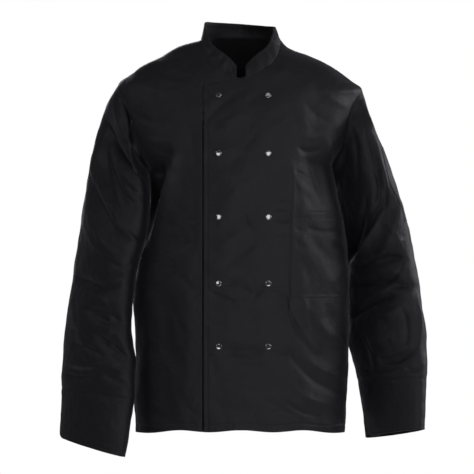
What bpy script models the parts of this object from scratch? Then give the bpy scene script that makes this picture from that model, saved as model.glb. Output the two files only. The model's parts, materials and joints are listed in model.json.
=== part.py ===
"""Chef jacket in its worn shape, empty inside: two overlapping fronts, back, stand collar, sleeves with
slit cuffs, a patch pocket, a pen pocket and ten domed press studs.

Metres, +Z up, +X to the wearer's left, and the front faces -Y. The origin is the middle of the neck base.
Every panel is a grid on one smooth form, raised by the folds, and its wall goes inwards from there.
"""

import math

import bmesh
import bpy
import numpy as np
from mathutils import Vector
from mathutils.bvhtree import BVHTree

# ---- cloth and seams
WALL = 0.0016  # body, sleeves and pockets
BAND_WALL = 0.0024  # collar and cuffs, which are doubled
SEAM = 0.0003  # between two pieces that are sewn together
BAND_SEAM, SLEEVE_SEAM = 0.00036, 0.00048  # the same where the edges meet at an angle
LAYER = 0.0010  # between the two fronts where they overlap

# ---- heights
HEM, POCKET_FOOT, POCKET_MOUTH = -0.7370, -0.4845, -0.3220
ARMPIT = {-1: -0.2450, 1: -0.2350}  # by side: -1 is the wearer's right, 1 the left
SHOULDER_TIP = {-1: -0.0817, 1: -0.0887}
FRONT_NECK, SIDE_NECK, BACK_NECK = -0.0713, 0.0040, 0.0070
OVERLAP_DROP = 0.0115  # how far the overlap's top edge falls from the neck to its corner

# ---- places across the fronts
OVER_EDGE, UNDER_EDGE = -0.0700, 0.0930
POCKET_EDGE = UNDER_EDGE  # the pocket starts where the layer below it ends
NECK_END = 0.0090  # where the neckline starts, each side of the middle
RIGHT_COLUMN = -0.0400  # columns that both fronts have, so that their layers run alike
LEFT_COLUMNS = (0.0360, 0.0630)

# ---- grid: how many cells each stretch is cut into
ROWS_LOW, ROWS_POCKET, ROWS_CHEST = 9, 6, 3
ROWS_BREAST, ROWS_NECK = 6, 6
SIDE_CELLS = 7
BACK_NECK_CELLS, BACK_SHOULDER_CELLS = 5, 6
ROWS_ARM = ROWS_BREAST + ROWS_NECK
ROUND = 2 * ROWS_ARM  # cells round an armhole, a sleeve and a cuff
SLEEVE_ROWS, CUFF_ROWS, COLLAR_ROWS = 22, 4, 3

# ---- armholes: an ellipse in heading and height, this wide to the front and to the back
ARMHOLE_FRONT, ARMHOLE_BACK = math.radians(14.5), math.radians(16.0)
FROM_ARMHOLE = (0.93, 0.0, -0.36)  # the way out of an armhole, square to its plane, on the left side
ROUNDNESS = 2.3  # exponent of the torso's rings: 2 is an ellipse, more is squarer

# ---- press studs
STUD_X = (-0.0420, 0.0510)
STUD_HEIGHTS = (-0.1040, -0.2130, -0.3330, -0.4580, -0.5770)
STUD_RADIUS, STUD_RISE, STUD_RIM = 0.0062, 0.0032, 0.0010
STUD_FOOT = 0.0056  # the flat under the cap
STUD_SIDES = 12

# ---- the hem's waves, and how a fold fades
HEM_WAVE, HEM_WAVES_PER_METRE, HEM_SIDE_DROP, HEM_REACH = 0.0020, 8.3, 0.0025, 0.0900
FADE_ENDS, FADE_FACING, LINE_STEPS = 0.08, (0.10, 0.55), 32
COLLAR_SWELL = 0.0015


def table(columns, *rows):
    """Rows of numbers as a dict of named columns. The first column is the key and rises."""
    return dict(zip(columns.split(), np.array(rows, dtype=float).T))


# Half-widths to the wearer's right and left and depths to the front and back, ring by ring.
TORSO = table(
    "height right left front back",
    (-0.780, 0.1980, 0.1940, 0.118, 0.121),
    (-0.737, 0.1995, 0.1970, 0.119, 0.123),
    (-0.674, 0.2024, 0.2014, 0.121, 0.125),
    (-0.590, 0.1995, 0.2043, 0.124, 0.128),
    (-0.534, 0.2025, 0.2048, 0.125, 0.129),
    (-0.484, 0.2050, 0.2052, 0.126, 0.130),
    (-0.435, 0.2005, 0.2039, 0.127, 0.131),
    (-0.370, 0.1830, 0.1978, 0.127, 0.132),
    (-0.310, 0.1745, 0.1880, 0.126, 0.132),
    (-0.280, 0.1725, 0.1805, 0.125, 0.132),
    (-0.260, 0.1740, 0.1774, 0.1235, 0.1315),
    (-0.245, 0.1730, 0.1735, 0.122, 0.131),
    (-0.232, 0.1810, 0.1730, 0.121, 0.131),
    (-0.220, 0.1920, 0.1820, 0.119, 0.130),
    (-0.203, 0.2040, 0.1970, 0.117, 0.129),
    (-0.163, 0.2220, 0.2170, 0.110, 0.126),
    (-0.135, 0.2300, 0.2250, 0.104, 0.122),
    (-0.110, 0.2365, 0.2300, 0.096, 0.117),
    (-0.088, 0.2365, 0.2290, 0.087, 0.111),
    (-0.076, 0.2290, 0.2130, 0.081, 0.106),
    (-0.065, 0.2145, 0.1985, 0.075, 0.102),
    (-0.053, 0.1975, 0.1805, 0.068, 0.097),
    (-0.042, 0.1810, 0.1635, 0.060, 0.091),
    (-0.030, 0.1550, 0.1385, 0.050, 0.084),
    (-0.020, 0.1390, 0.1090, 0.041, 0.078),
    (-0.012, 0.1240, 0.0900, 0.034, 0.074),
    (-0.004, 0.1040, 0.0805, 0.027, 0.070),
    (0.004, 0.0765, 0.0745, 0.020, 0.066),
    (0.010, 0.0660, 0.0660, 0.016, 0.063),
)

# The neckline on each front, from its end at the middle to the side of the neck.
NECKLINE = table(
    "share x height",
    (0.00, 0.0090, -0.0713),
    (0.14, 0.0255, -0.0642),
    (0.29, 0.0420, -0.0550),
    (0.46, 0.0580, -0.0420),
    (0.66, 0.0700, -0.0230),
    (1.00, 0.0765, 0.0040),
)

# The collar's top edge, from the front end to the middle of the back.
COLLAR_TOP = table(
    "share x y height",
    (0.00, 0.0078, -0.0630, -0.0460),
    (0.10, 0.0190, -0.0595, -0.0340),
    (0.21, 0.0325, -0.0530, -0.0220),
    (0.33, 0.0470, -0.0420, -0.0110),
    (0.45, 0.0585, -0.0270, 0.0050),
    (0.56, 0.0655, -0.0060, 0.0255),
    (0.67, 0.0675, 0.0120, 0.0330),
    (0.84, 0.0460, 0.0440, 0.0350),
    (1.00, 0.0000, 0.0590, 0.0360),
)

# Sleeve rings: the outer and inner points as seen from the front, the half depth and its middle.
SLEEVES = {
    -1: table(
        "ring outer_x outer_z inner_x inner_z depth middle",
        (0, 0.2337, -0.0817, 0.1730, -0.2450, 0.056, 0.004),
        (1, 0.2527, -0.1159, 0.1725, -0.2640, 0.062, 0.003),
        (2, 0.2700, -0.1577, 0.1715, -0.2860, 0.066, 0.002),
        (3, 0.2822, -0.2014, 0.1720, -0.3116, 0.068, 0.000),
        (4, 0.2907, -0.2489, 0.1745, -0.3420, 0.069, -0.002),
        (5, 0.2983, -0.2964, 0.1815, -0.3762, 0.069, -0.004),
        (6, 0.3050, -0.3420, 0.1905, -0.4085, 0.067, -0.005),
        (7, 0.3126, -0.3876, 0.1985, -0.4408, 0.065, -0.006),
        (8, 0.3192, -0.4332, 0.2028, -0.4731, 0.063, -0.008),
        (9, 0.3259, -0.4769, 0.2048, -0.5016, 0.061, -0.011),
        (10, 0.3316, -0.5187, 0.2060, -0.5320, 0.059, -0.015),
        (11, 0.3363, -0.5605, 0.2050, -0.5681, 0.056, -0.019),
        (12, 0.3395, -0.6042, 0.1985, -0.6080, 0.052, -0.023),
        (13, 0.3416, -0.6555, 0.2000, -0.6764, 0.047, -0.027),
    ),
    1: table(
        "ring outer_x outer_z inner_x inner_z depth middle",
        (0, 0.2291, -0.0887, 0.1725, -0.2350, 0.056, 0.004),
        (1, 0.2385, -0.1235, 0.1762, -0.2584, 0.062, 0.006),
        (2, 0.2527, -0.1615, 0.1795, -0.2803, 0.066, 0.008),
        (3, 0.2689, -0.2014, 0.1835, -0.3040, 0.068, 0.010),
        (4, 0.2850, -0.2451, 0.1885, -0.3325, 0.069, 0.012),
        (5, 0.3012, -0.2964, 0.1940, -0.3667, 0.069, 0.014),
        (6, 0.3154, -0.3439, 0.1985, -0.4009, 0.067, 0.015),
        (7, 0.3262, -0.3933, 0.2010, -0.4370, 0.065, 0.015),
        (8, 0.3348, -0.4389, 0.2025, -0.4712, 0.063, 0.013),
        (9, 0.3420, -0.4845, 0.2030, -0.5054, 0.061, 0.010),
        (10, 0.3477, -0.5282, 0.2035, -0.5396, 0.059, 0.006),
        (11, 0.3515, -0.5700, 0.2055, -0.5719, 0.056, 0.001),
        (12, 0.3528, -0.6042, 0.2125, -0.6061, 0.052, -0.004),
        (13, 0.3525, -0.6346, 0.2214, -0.6422, 0.047, -0.009),
    ),
}

# The inner side of each sleeve lies this far behind its outer side, so that it clears the torso.
SLEEVE_SLANT = {-1: -0.050, 1: 0.044}
COLLAR_SHIFT, COLLAR_TILT = -0.0019, -0.070  # the collar's top leans to the wearer's right and rises there

# Cuffs: the lower ring, how far its front hangs below the sides, and the heading of the slit, counted
# from the outer side to the front.
CUFFS = {
    -1: dict(outer=(0.3449, -0.7500), inner=(0.2185, -0.7858), middle=-0.036, dip=0.003, slit=0),
    1: dict(outer=(0.3471, -0.7345), inner=(0.2375, -0.7520), middle=-0.020, dip=-0.004, slit=165),
}
CUFF_DEPTH = 0.043  # half the lower ring's depth
SLIT_FROM = 2  # the cuff's row where the slit starts
SLIT_WIDTH, CORNER_LIFT = 0.003, 0.012

# The largest folds: soft ridges and troughs along a bent line through three points, in front view.
# part: 0 torso, -1 and 1 the sleeves. face: -1 on the front, 1 on the back. height: below 0 is a trough.
FOLDS = table(
    "part face x1 z1 x2 z2 x3 z3 width height",
    (0, -1, -0.152, -0.228, -0.168, -0.300, -0.186, -0.390, 0.018, -0.011),
    (0, -1, -0.122, -0.205, -0.136, -0.290, -0.160, -0.390, 0.018, 0.008),
    (0, -1, 0.112, -0.203, 0.137, -0.243, 0.156, -0.305, 0.018, -0.009),
    (0, -1, 0.085, -0.215, 0.105, -0.262, 0.128, -0.318, 0.018, 0.006),
    (0, -1, 0.087, -0.492, 0.118, -0.560, 0.176, -0.612, 0.019, -0.008),
    (0, -1, 0.112, -0.478, 0.148, -0.535, 0.190, -0.560, 0.018, 0.006),
    (0, -1, 0.087, -0.585, 0.128, -0.632, 0.188, -0.662, 0.018, -0.008),
    (0, -1, -0.060, -0.475, -0.010, -0.486, 0.040, -0.462, 0.017, -0.003),
    (0, -1, -0.040, -0.580, 0.008, -0.592, 0.055, -0.578, 0.017, -0.003),
    (0, -1, -0.150, -0.480, -0.140, -0.600, -0.155, -0.730, 0.028, -0.006),
    (0, -1, -0.104, -0.430, -0.100, -0.560, -0.108, -0.730, 0.026, 0.004),
    (0, 1, -0.165, -0.240, -0.120, -0.300, -0.085, -0.420, 0.024, -0.011),
    (0, 1, 0.165, -0.235, 0.125, -0.310, 0.095, -0.440, 0.024, -0.011),
    (0, 1, -0.060, -0.180, -0.050, -0.340, -0.075, -0.520, 0.028, 0.007),
    (0, 1, 0.055, -0.200, 0.060, -0.360, 0.085, -0.540, 0.028, 0.007),
    (0, 1, 0.005, -0.380, -0.005, -0.540, 0.010, -0.735, 0.026, -0.008),
    (0, 1, -0.130, -0.440, -0.060, -0.470, 0.000, -0.455, 0.020, -0.007),
    (0, 1, 0.120, -0.500, 0.140, -0.620, 0.130, -0.737, 0.024, -0.008),
    (0, 1, -0.125, -0.520, -0.140, -0.640, -0.130, -0.737, 0.024, -0.007),
    (-1, -1, -0.257, -0.145, -0.236, -0.205, -0.192, -0.245, 0.017, -0.009),
    (-1, -1, -0.266, -0.200, -0.266, -0.300, -0.216, -0.365, 0.018, -0.010),
    (-1, -1, -0.292, -0.230, -0.290, -0.320, -0.245, -0.402, 0.018, 0.007),
    (-1, -1, -0.314, -0.450, -0.275, -0.468, -0.235, -0.468, 0.015, -0.009),
    (-1, -1, -0.290, -0.508, -0.262, -0.526, -0.225, -0.530, 0.015, -0.009),
    (-1, -1, -0.275, -0.560, -0.245, -0.585, -0.215, -0.605, 0.015, -0.009),
    (-1, -1, -0.330, -0.620, -0.300, -0.624, -0.270, -0.616, 0.014, -0.007),
    (-1, 1, -0.300, -0.300, -0.250, -0.330, -0.205, -0.330, 0.018, -0.010),
    (-1, 1, -0.310, -0.390, -0.265, -0.420, -0.220, -0.415, 0.017, -0.010),
    (-1, 1, -0.320, -0.480, -0.275, -0.500, -0.230, -0.490, 0.016, -0.009),
    (-1, 1, -0.325, -0.570, -0.280, -0.590, -0.230, -0.570, 0.016, -0.008),
    (1, -1, 0.262, -0.220, 0.278, -0.290, 0.240, -0.370, 0.017, -0.011),
    (1, -1, 0.292, -0.270, 0.296, -0.330, 0.265, -0.400, 0.018, 0.008),
    (1, -1, 0.225, -0.430, 0.272, -0.415, 0.312, -0.412, 0.015, -0.010),
    (1, -1, 0.212, -0.465, 0.270, -0.456, 0.330, -0.468, 0.015, -0.009),
    (1, -1, 0.212, -0.525, 0.245, -0.500, 0.290, -0.488, 0.016, -0.011),
    (1, -1, 0.245, -0.592, 0.285, -0.598, 0.325, -0.585, 0.014, -0.008),
    (1, 1, 0.225, -0.320, 0.260, -0.345, 0.305, -0.325, 0.018, -0.010),
    (1, 1, 0.225, -0.410, 0.270, -0.425, 0.320, -0.400, 0.017, -0.010),
    (1, 1, 0.230, -0.500, 0.280, -0.505, 0.335, -0.480, 0.016, -0.009),
)

# The pen pocket's place among the left sleeve's cells.
PEN_ROWS, PEN_CELLS = (5, 10), (-2, 2)


def read(rows, column, at):
    """A column's smooth value at a value of the table's first column: cubic pieces through the rows,
    with the slope at each row taken from its neighbours."""
    keys = next(iter(rows.values()))
    values = rows[column]
    slopes = np.gradient(values, keys)
    at = np.clip(at, keys[0], keys[-1])
    low = np.clip(np.searchsorted(keys, at) - 1, 0, len(keys) - 2)
    step = keys[low + 1] - keys[low]
    u = (at - keys[low]) / step
    rise = 3 * u**2 - 2 * u**3
    start = (u**3 - 2 * u**2 + u) * step * slopes[low]
    end = (u**3 - u**2) * step * slopes[low + 1]
    return values[low] * (1 - rise) + start + values[low + 1] * rise + end


def ease(value, low, high):
    """0 below low, 1 above high, and a smooth step between."""
    u = np.clip((value - low) / (high - low), 0, 1)
    return u * u * (3 - 2 * u)


def torso_point(heading, height):
    """The torso's form: a squared ellipse at each height. Heading 0 is the front, and it grows to the
    wearer's left."""
    sine, cosine = np.sin(heading), np.cos(heading)
    width = np.where(sine > 0, read(TORSO, "left", height), read(TORSO, "right", height))
    depth = np.where(cosine > 0, read(TORSO, "front", height), read(TORSO, "back", height))
    radius = (np.abs(sine / width) ** ROUNDNESS + np.abs(cosine / depth) ** ROUNDNESS) ** (-1 / ROUNDNESS)
    return np.stack([radius * sine, -radius * cosine, height + 0 * radius], axis=-1)


def front_heading(x, height):
    """The heading at which the torso's front has this x."""
    width = np.where(x > 0, read(TORSO, "left", height), read(TORSO, "right", height))
    share = np.clip(np.abs(x) / width, 0, 1)
    depth = read(TORSO, "front", height) * (1 - share**ROUNDNESS) ** (1 / ROUNDNESS)
    return np.arctan2(x, depth)


def normals_of(surface, u, v, step=1e-4):
    """Unit normals of a surface given as a function of two arrays, from its slopes both ways."""
    across = surface(u + step, v) - surface(u - step, v)
    up = surface(u, v + step) - surface(u, v - step)
    normal = np.cross(across, up)
    return normal / np.linalg.norm(normal, axis=-1, keepdims=True)


def relief(part, points, normals):
    """Height of the folds at each point. A fold is height x exp(-(distance / width)^2) from its bent
    line, fades at both ends of the line, and only shows on the side that faces its way."""
    total = np.zeros(points.shape[:-1])
    for fold in zip(*FOLDS.values()):
        own, face, x1, z1, x2, z2, x3, z3, width, height = fold
        if own != part:
            continue
        t = np.linspace(0, 1, LINE_STEPS + 1)[:, None]
        bend = 2 * np.array([x2, z2]) - (np.array([x1, z1]) + np.array([x3, z3])) / 2
        line = (1 - t) ** 2 * np.array([x1, z1]) + 2 * t * (1 - t) * bend + t**2 * np.array([x3, z3])
        distance = np.linalg.norm(points[..., None, [0, 2]] - line, axis=-1)
        along = distance.argmin(axis=-1) / LINE_STEPS
        ends = np.sin(math.pi * (FADE_ENDS + (1 - 2 * FADE_ENDS) * along))
        facing = ease(normals[..., 1] * face, *FADE_FACING)
        total += height * np.exp(-((distance.min(axis=-1) / width) ** 2)) * ends * facing
    return total


def over_lift(points):
    """How far the over-front stands off the form: clear of the under-front below it, and back on the
    form past that one's edge and above its top."""
    past_edge = ease(points[..., 0], UNDER_EDGE + 0.020, UNDER_EDGE + 0.055)
    above = ease(points[..., 2], FRONT_NECK + 0.008, FRONT_NECK + 0.032)
    return (WALL + LAYER) * (1 - past_edge) * (1 - above)


def torso_cloth(heading, height, lifted=False):
    """Outer points and normals of torso cloth at these headings and heights."""
    points = torso_point(heading, height)
    normals = normals_of(torso_point, heading, height)
    rise = relief(0, points, normals)
    if lifted:
        rise = rise + over_lift(points)
    return points + rise[..., None] * normals, normals


def armhole(side, turn):
    """Heading and height on an armhole. The turn is 0 at the shoulder tip, a quarter at the front and
    half at the armpit."""
    reach = np.where(np.sin(turn) > 0, ARMHOLE_FRONT, ARMHOLE_BACK)
    heading = side * (math.pi / 2 - reach * np.sin(turn))
    middle = (SHOULDER_TIP[side] + ARMPIT[side]) / 2
    half = (SHOULDER_TIP[side] - ARMPIT[side]) / 2
    return heading, middle + half * np.cos(turn)


def seam_back(side, way, height):
    """The heading of the side and shoulder seam, kept back by half a seam. way: -1 front, 1 back."""
    width = read(TORSO, "left" if side > 0 else "right", height)
    return side * (math.pi / 2 + way * SEAM / 2 / width)


def hem_height(x):
    """The hem hangs in two shallow waves."""
    waves = np.cos(2 * math.pi * HEM_WAVES_PER_METRE * x)
    return HEM + HEM_WAVE * waves - HEM_SIDE_DROP * ease(np.abs(x), 0.10, 0.17)


def levels():
    """Row heights from the hem to the right armpit, with rows on the pocket's foot and mouth."""
    return np.concatenate([
        np.linspace(HEM, POCKET_FOOT, ROWS_LOW + 1)[:-1],
        np.linspace(POCKET_FOOT, POCKET_MOUTH, ROWS_POCKET + 1)[:-1],
        np.linspace(POCKET_MOUTH, ARMPIT[-1], ROWS_CHEST + 1),
    ])


def side_boundary(side, way):
    """Heading and height of each row's outer end: up the side seam, then round the armhole."""
    low = levels()[:-1]
    turn = np.linspace(math.pi, 0, ROWS_ARM + 1) * (-way)
    heading, height = armhole(side, turn)
    heading[0] = seam_back(side, way, height[0])
    heading[-1] = seam_back(side, way, height[-1])
    return np.concatenate([seam_back(side, way, low), heading]), np.concatenate([low, height])


def neckline(side):
    """Heading and height of the rows' inner ends along a front's neckline."""
    share = np.linspace(0, 1, ROWS_NECK + 1)
    height = read(NECKLINE, "height", share)
    heading = front_heading(side * read(NECKLINE, "x", share), height)
    heading[-1] = seam_back(side, -1, height[-1])
    return heading, height


def front_grid(side, strip, inner):
    """Headings and heights of a front panel's grid, and which of its cells exist.

    strip: the x of each column past the neckline's end, from the front edge. inner: the x of the
    columns next to them on the panel's own side. The rest are spread up to the side.
    """
    end_heading, end_height = side_boundary(side, -1)
    rows_to_neck = len(levels()) + ROWS_BREAST
    rise = np.linspace(ARMPIT[-1], FRONT_NECK, ROWS_BREAST + 1)[1:]
    neck_heading, neck_height = neckline(side)
    start_height = np.concatenate([levels(), rise, neck_height[1:]])
    start_heading = np.concatenate([front_heading(side * NECK_END, start_height[:rows_to_neck]),
                                    neck_heading[1:]])

    shares = []
    for row in range(len(start_height)):
        fixed = front_heading(np.array(inner), start_height[min(row, rows_to_neck - 1)])
        first = start_heading[min(row, rows_to_neck - 1)]
        last = end_heading[min(row, rows_to_neck - 1)]
        known = (np.concatenate([[first], fixed]) - first) / (last - first)
        shares.append(np.concatenate([known, np.linspace(known[-1], 1, SIDE_CELLS + 1)[1:]]))
    share = np.array(shares)
    heading = start_heading[:, None] + (end_heading - start_heading)[:, None] * share
    height = start_height[:, None] + (end_height - start_height)[:, None] * share

    strip_x = np.array(strip)[None, :]
    drop = OVERLAP_DROP * (side * NECK_END - strip_x) / (side * NECK_END - strip[0])
    grown = np.clip((start_height - ARMPIT[-1]) / (FRONT_NECK - ARMPIT[-1]), 0, 1)
    strip_height = start_height[:, None] - drop * grown[:, None]
    strip_heading = front_heading(strip_x + 0 * strip_height, strip_height)
    heading = np.concatenate([strip_heading, heading], axis=1)
    height = np.concatenate([strip_height, height], axis=1)
    keep = np.ones((len(start_height) - 1, heading.shape[1] - 1), dtype=bool)
    keep[rows_to_neck - 1:, : len(strip)] = False
    return heading, height, keep


def back_grid(side):
    """Headings and heights of half the back, from the middle to the side."""
    end_heading, end_height = side_boundary(side, 1)
    rise = np.linspace(ARMPIT[-1], BACK_NECK, ROWS_ARM + 1)[1:]
    start_height = np.concatenate([levels(), rise])
    share = np.linspace(0, 1, BACK_NECK_CELLS + BACK_SHOULDER_CELLS + 1)
    middle = side * math.pi
    heading = middle + (end_heading - middle)[:, None] * share
    height = start_height[:, None] + (end_height - start_height)[:, None] * share

    neck = np.linspace(0, 1, BACK_NECK_CELLS + 1)
    down = np.linspace(0, 1, BACK_SHOULDER_CELLS + 1)[1:]
    top_height = np.concatenate([BACK_NECK + (SIDE_NECK - BACK_NECK) * neck**2,
                                 SIDE_NECK + (SHOULDER_TIP[side] - SIDE_NECK) * down])
    top_heading = np.concatenate([middle + (seam_back(side, 1, SIDE_NECK) - middle) * neck,
                                  seam_back(side, 1, top_height[BACK_NECK_CELLS + 1:])])
    rows = np.arange(len(start_height))
    bend = ease(rows, len(levels()) - 3, rows[-1])[:, None] ** 1.5
    return heading + (top_heading - heading[-1]) * bend, height + (top_height - height[-1]) * bend


def hang_hem(heading, height):
    """Lets the lowest rows follow the hem's waves."""
    x = torso_point(heading, height)[..., 0]
    low = 1 - ease(height, HEM, HEM + HEM_REACH)
    return height + (hem_height(x) - HEM) * low


def sleeve_ellipse(side, turn, ring):
    """A sleeve's plain ring, between its outer and inner points."""
    rows = SLEEVES[side]
    outer = np.stack([read(rows, "outer_x", ring), read(rows, "outer_z", ring)], axis=-1)
    inner = np.stack([read(rows, "inner_x", ring), read(rows, "inner_z", ring)], axis=-1)
    across = (outer + inner) / 2 + (outer - inner) / 2 * np.cos(turn)[..., None]
    slant = SLEEVE_SLANT[side] * ease(ring, 0, 2) * np.cos(turn)
    y = read(rows, "middle", ring) - slant - read(rows, "depth", ring) * np.sin(turn)
    return np.stack([side * across[..., 0], y, across[..., 1]], axis=-1)


def sleeve_point(side, turn, ring):
    """A sleeve's form: it starts as the armhole and has turned into plain rings by the third. The turn
    is 0 on the outer side, a quarter at the front and half on the inner side."""
    start = torso_point(*armhole(side, turn)) - sleeve_ellipse(side, turn, 0 * ring)
    return sleeve_ellipse(side, turn, ring) + start * (1 - ease(ring, 0, 3))[..., None]


def sleeve_cloth(side, turn, ring):
    """Outer points and normals of a sleeve, with its folds, which end at the armhole and the cuff."""
    def form(u, v):
        return sleeve_point(side, u, v)

    points = form(turn, ring)
    normals = normals_of(form, turn, ring)
    outwards = points - points.mean(axis=1, keepdims=True)
    normals = normals * np.sign(np.sum(normals * outwards, axis=-1, keepdims=True).mean())
    last = SLEEVES[side]["ring"][-1]
    between = ease(ring, 0, 2) * (1 - ease(ring, last - 0.8, last))
    return points + (relief(side, points, normals) * between)[..., None] * normals, normals


def cloth(name, outer, normals, wall, material, keep=None, closed_rows=0):
    """A wall of cloth: the grid of outer points, the same grid moved in by the wall, and an edge all
    round. Both sides are cut along the same diagonals. Closed rows run into their own first column."""
    rows, columns = outer.shape[:2]
    ids = np.arange(rows * columns).reshape(rows, columns)
    ids[:closed_rows, -1] = ids[:closed_rows, 0]
    keep = np.ones((rows - 1, columns - 1), dtype=bool) if keep is None else keep
    faces = []
    for row, column in zip(*np.nonzero(keep)):
        a, b = ids[row, column], ids[row, column + 1]
        c, d = ids[row + 1, column + 1], ids[row + 1, column]
        faces += [(a, b, c), (a, c, d)]
    half_edges = {(face[i], face[(i + 1) % 3]) for face in faces for i in range(3)}
    border = [edge for edge in half_edges if edge[::-1] not in half_edges]
    count = rows * columns
    back = [tuple(count + i for i in face[::-1]) for face in faces]
    rim = []
    for a, b in sorted(border):
        rim += [(b, a, count + a), (b, count + a, count + b)]

    inner = outer - wall * normals
    vertices = np.concatenate([outer.reshape(-1, 3), inner.reshape(-1, 3)])
    mesh = bpy.data.meshes.new(name)
    mesh.from_pydata(vertices.tolist(), [], [tuple(map(int, face)) for face in faces + back + rim])
    tidy = bmesh.new()
    tidy.from_mesh(mesh)
    loose = [vertex for vertex in tidy.verts if not vertex.link_faces]
    bmesh.ops.delete(tidy, geom=loose, context="VERTS")
    bmesh.ops.recalc_face_normals(tidy, faces=tidy.faces)
    tidy.to_mesh(mesh)
    tidy.free()
    mesh.shade_smooth()
    mesh.set_sharp_from_angle(angle=math.radians(50))
    return place(name, mesh, material)


def place(name, mesh, material):
    """Links a mesh as an object of the jacket."""
    mesh.materials.append(material)
    made = bpy.data.objects.new(name, mesh)
    jacket.objects.link(made)
    return made


def finish(name, colour, roughness, metallic=0.0):
    """A plain finish."""
    material = bpy.data.materials.new(name)
    material.use_nodes = True
    shader = material.node_tree.nodes["Principled BSDF"]
    shader.inputs["Base Color"].default_value = (*colour, 1.0)
    shader.inputs["Roughness"].default_value = roughness
    shader.inputs["Metallic"].default_value = metallic
    return material


def make_fronts(twill):
    """The under-front on the wearer's right and the over-front on the left, with its patch pocket."""
    strip = [UNDER_EDGE, *LEFT_COLUMNS[::-1], NECK_END]
    heading, height, keep = front_grid(-1, strip, [RIGHT_COLUMN, OVER_EDGE])
    heading, height, keep = heading[:, ::-1], height[:, ::-1], keep[:, ::-1]
    cloth("front_under", *torso_cloth(heading, hang_hem(heading, height)), WALL, twill, keep)

    strip = [OVER_EDGE, RIGHT_COLUMN, -NECK_END]
    heading, height, keep = front_grid(1, strip, [*LEFT_COLUMNS, POCKET_EDGE])
    height = hang_hem(heading, height)
    outer, normals = torso_cloth(heading, height, lifted=True)
    cloth("front_over", outer, normals, WALL, twill, keep)

    first_column = len(strip) + 1 + len(LEFT_COLUMNS)
    area = np.s_[ROWS_LOW : ROWS_LOW + ROWS_POCKET + 1, first_column:-1]
    cloth("chest_pocket", outer[area] + (WALL + SEAM) * normals[area], normals[area], WALL, twill)
    return outer, keep


def make_back(twill):
    """The back, whose halves share the middle column."""
    right, left = back_grid(-1), back_grid(1)
    heading = np.concatenate([right[0][:, ::-1] + 2 * math.pi, left[0][:, 1:]], axis=1)
    height = np.concatenate([right[1][:, ::-1], left[1][:, 1:]], axis=1)
    cloth("back", *torso_cloth(heading, hang_hem(heading, height)), WALL, twill)


def collar_foot():
    """Neckline points from the wearer's right front end round the back to the left."""
    round_back = np.linspace(0, 1, BACK_NECK_CELLS + 1)[1:]
    halves = []
    for side in (-1, 1):
        heading, height = neckline(side)
        heading[-1] = side * math.pi / 2
        back_heading = side * math.pi * (0.5 + 0.5 * round_back)
        back_height = BACK_NECK + (SIDE_NECK - BACK_NECK) * (1 - round_back) ** 2
        halves.append((np.concatenate([heading, back_heading]), np.concatenate([height, back_height])))
    heading = np.concatenate([halves[0][0], halves[1][0][-2::-1]])
    height = np.concatenate([halves[0][1], halves[1][1][-2::-1]])
    points = torso_point(heading, height)
    normals = normals_of(torso_point, heading, height)
    return points + over_lift(points)[:, None] * normals * (points[:, :1] > 0)


def make_collar(twill):
    """The stand collar: a band between the neckline and its top edge, swelling a little between."""
    foot = collar_foot()
    number = np.arange(len(foot))
    half = len(foot) // 2
    share = 1 - np.abs(number / half - 1)
    side = np.where(number < half, -1, 1)
    top_x = side * read(COLLAR_TOP, "x", share) + COLLAR_SHIFT * ease(share, 0.2, 0.6)
    top_height = read(COLLAR_TOP, "height", share) + COLLAR_TILT * top_x * ease(share, 0.45, 0.75)
    top = np.stack([top_x, read(COLLAR_TOP, "y", share), top_height], axis=-1)
    rise = np.linspace(0, 1, COLLAR_ROWS + 1)[:, None, None]
    span = top - foot
    lift_off = BAND_SEAM / np.linalg.norm(span, axis=-1, keepdims=True)
    outer = foot + span * (lift_off + (1 - lift_off) * rise)
    along = np.gradient(foot, axis=0)
    normal = np.cross(along, span)
    normal /= np.linalg.norm(normal, axis=-1, keepdims=True)
    normal *= np.sign((normal * foot).sum(axis=-1, keepdims=True).mean())
    outer = outer + COLLAR_SWELL * np.sin(math.pi * rise) * normal
    cloth("collar", outer, np.broadcast_to(normal, outer.shape), BAND_WALL, twill)


def make_sleeve(side, name, twill):
    """A sleeve, a seam's width off its armhole. Returns its grid for what lies on it."""
    last = SLEEVES[side]["ring"][-1]
    ring = (np.linspace(0, 1, SLEEVE_ROWS + 1) * last)[:, None]
    turn = np.linspace(0, 2 * math.pi, ROUND + 1)[None, :]
    turn, ring = turn + 0 * ring, ring + 0 * turn
    outer, normals = sleeve_cloth(side, turn, ring)
    outer[:, -1], normals[:, -1] = outer[:, 0], normals[:, 0]
    away = np.array(FROM_ARMHOLE) * (side, 1, 1)
    outer[0] += SLEEVE_SEAM * away
    panel = normals_of(torso_point, *armhole(side, turn[0]))
    leaning = np.clip((normals[0] - panel) @ away, 0, None)
    normals[0] -= leaning[:, None] * away
    cloth(name, outer, normals, WALL, twill, closed_rows=len(outer))
    return outer, normals


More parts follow.
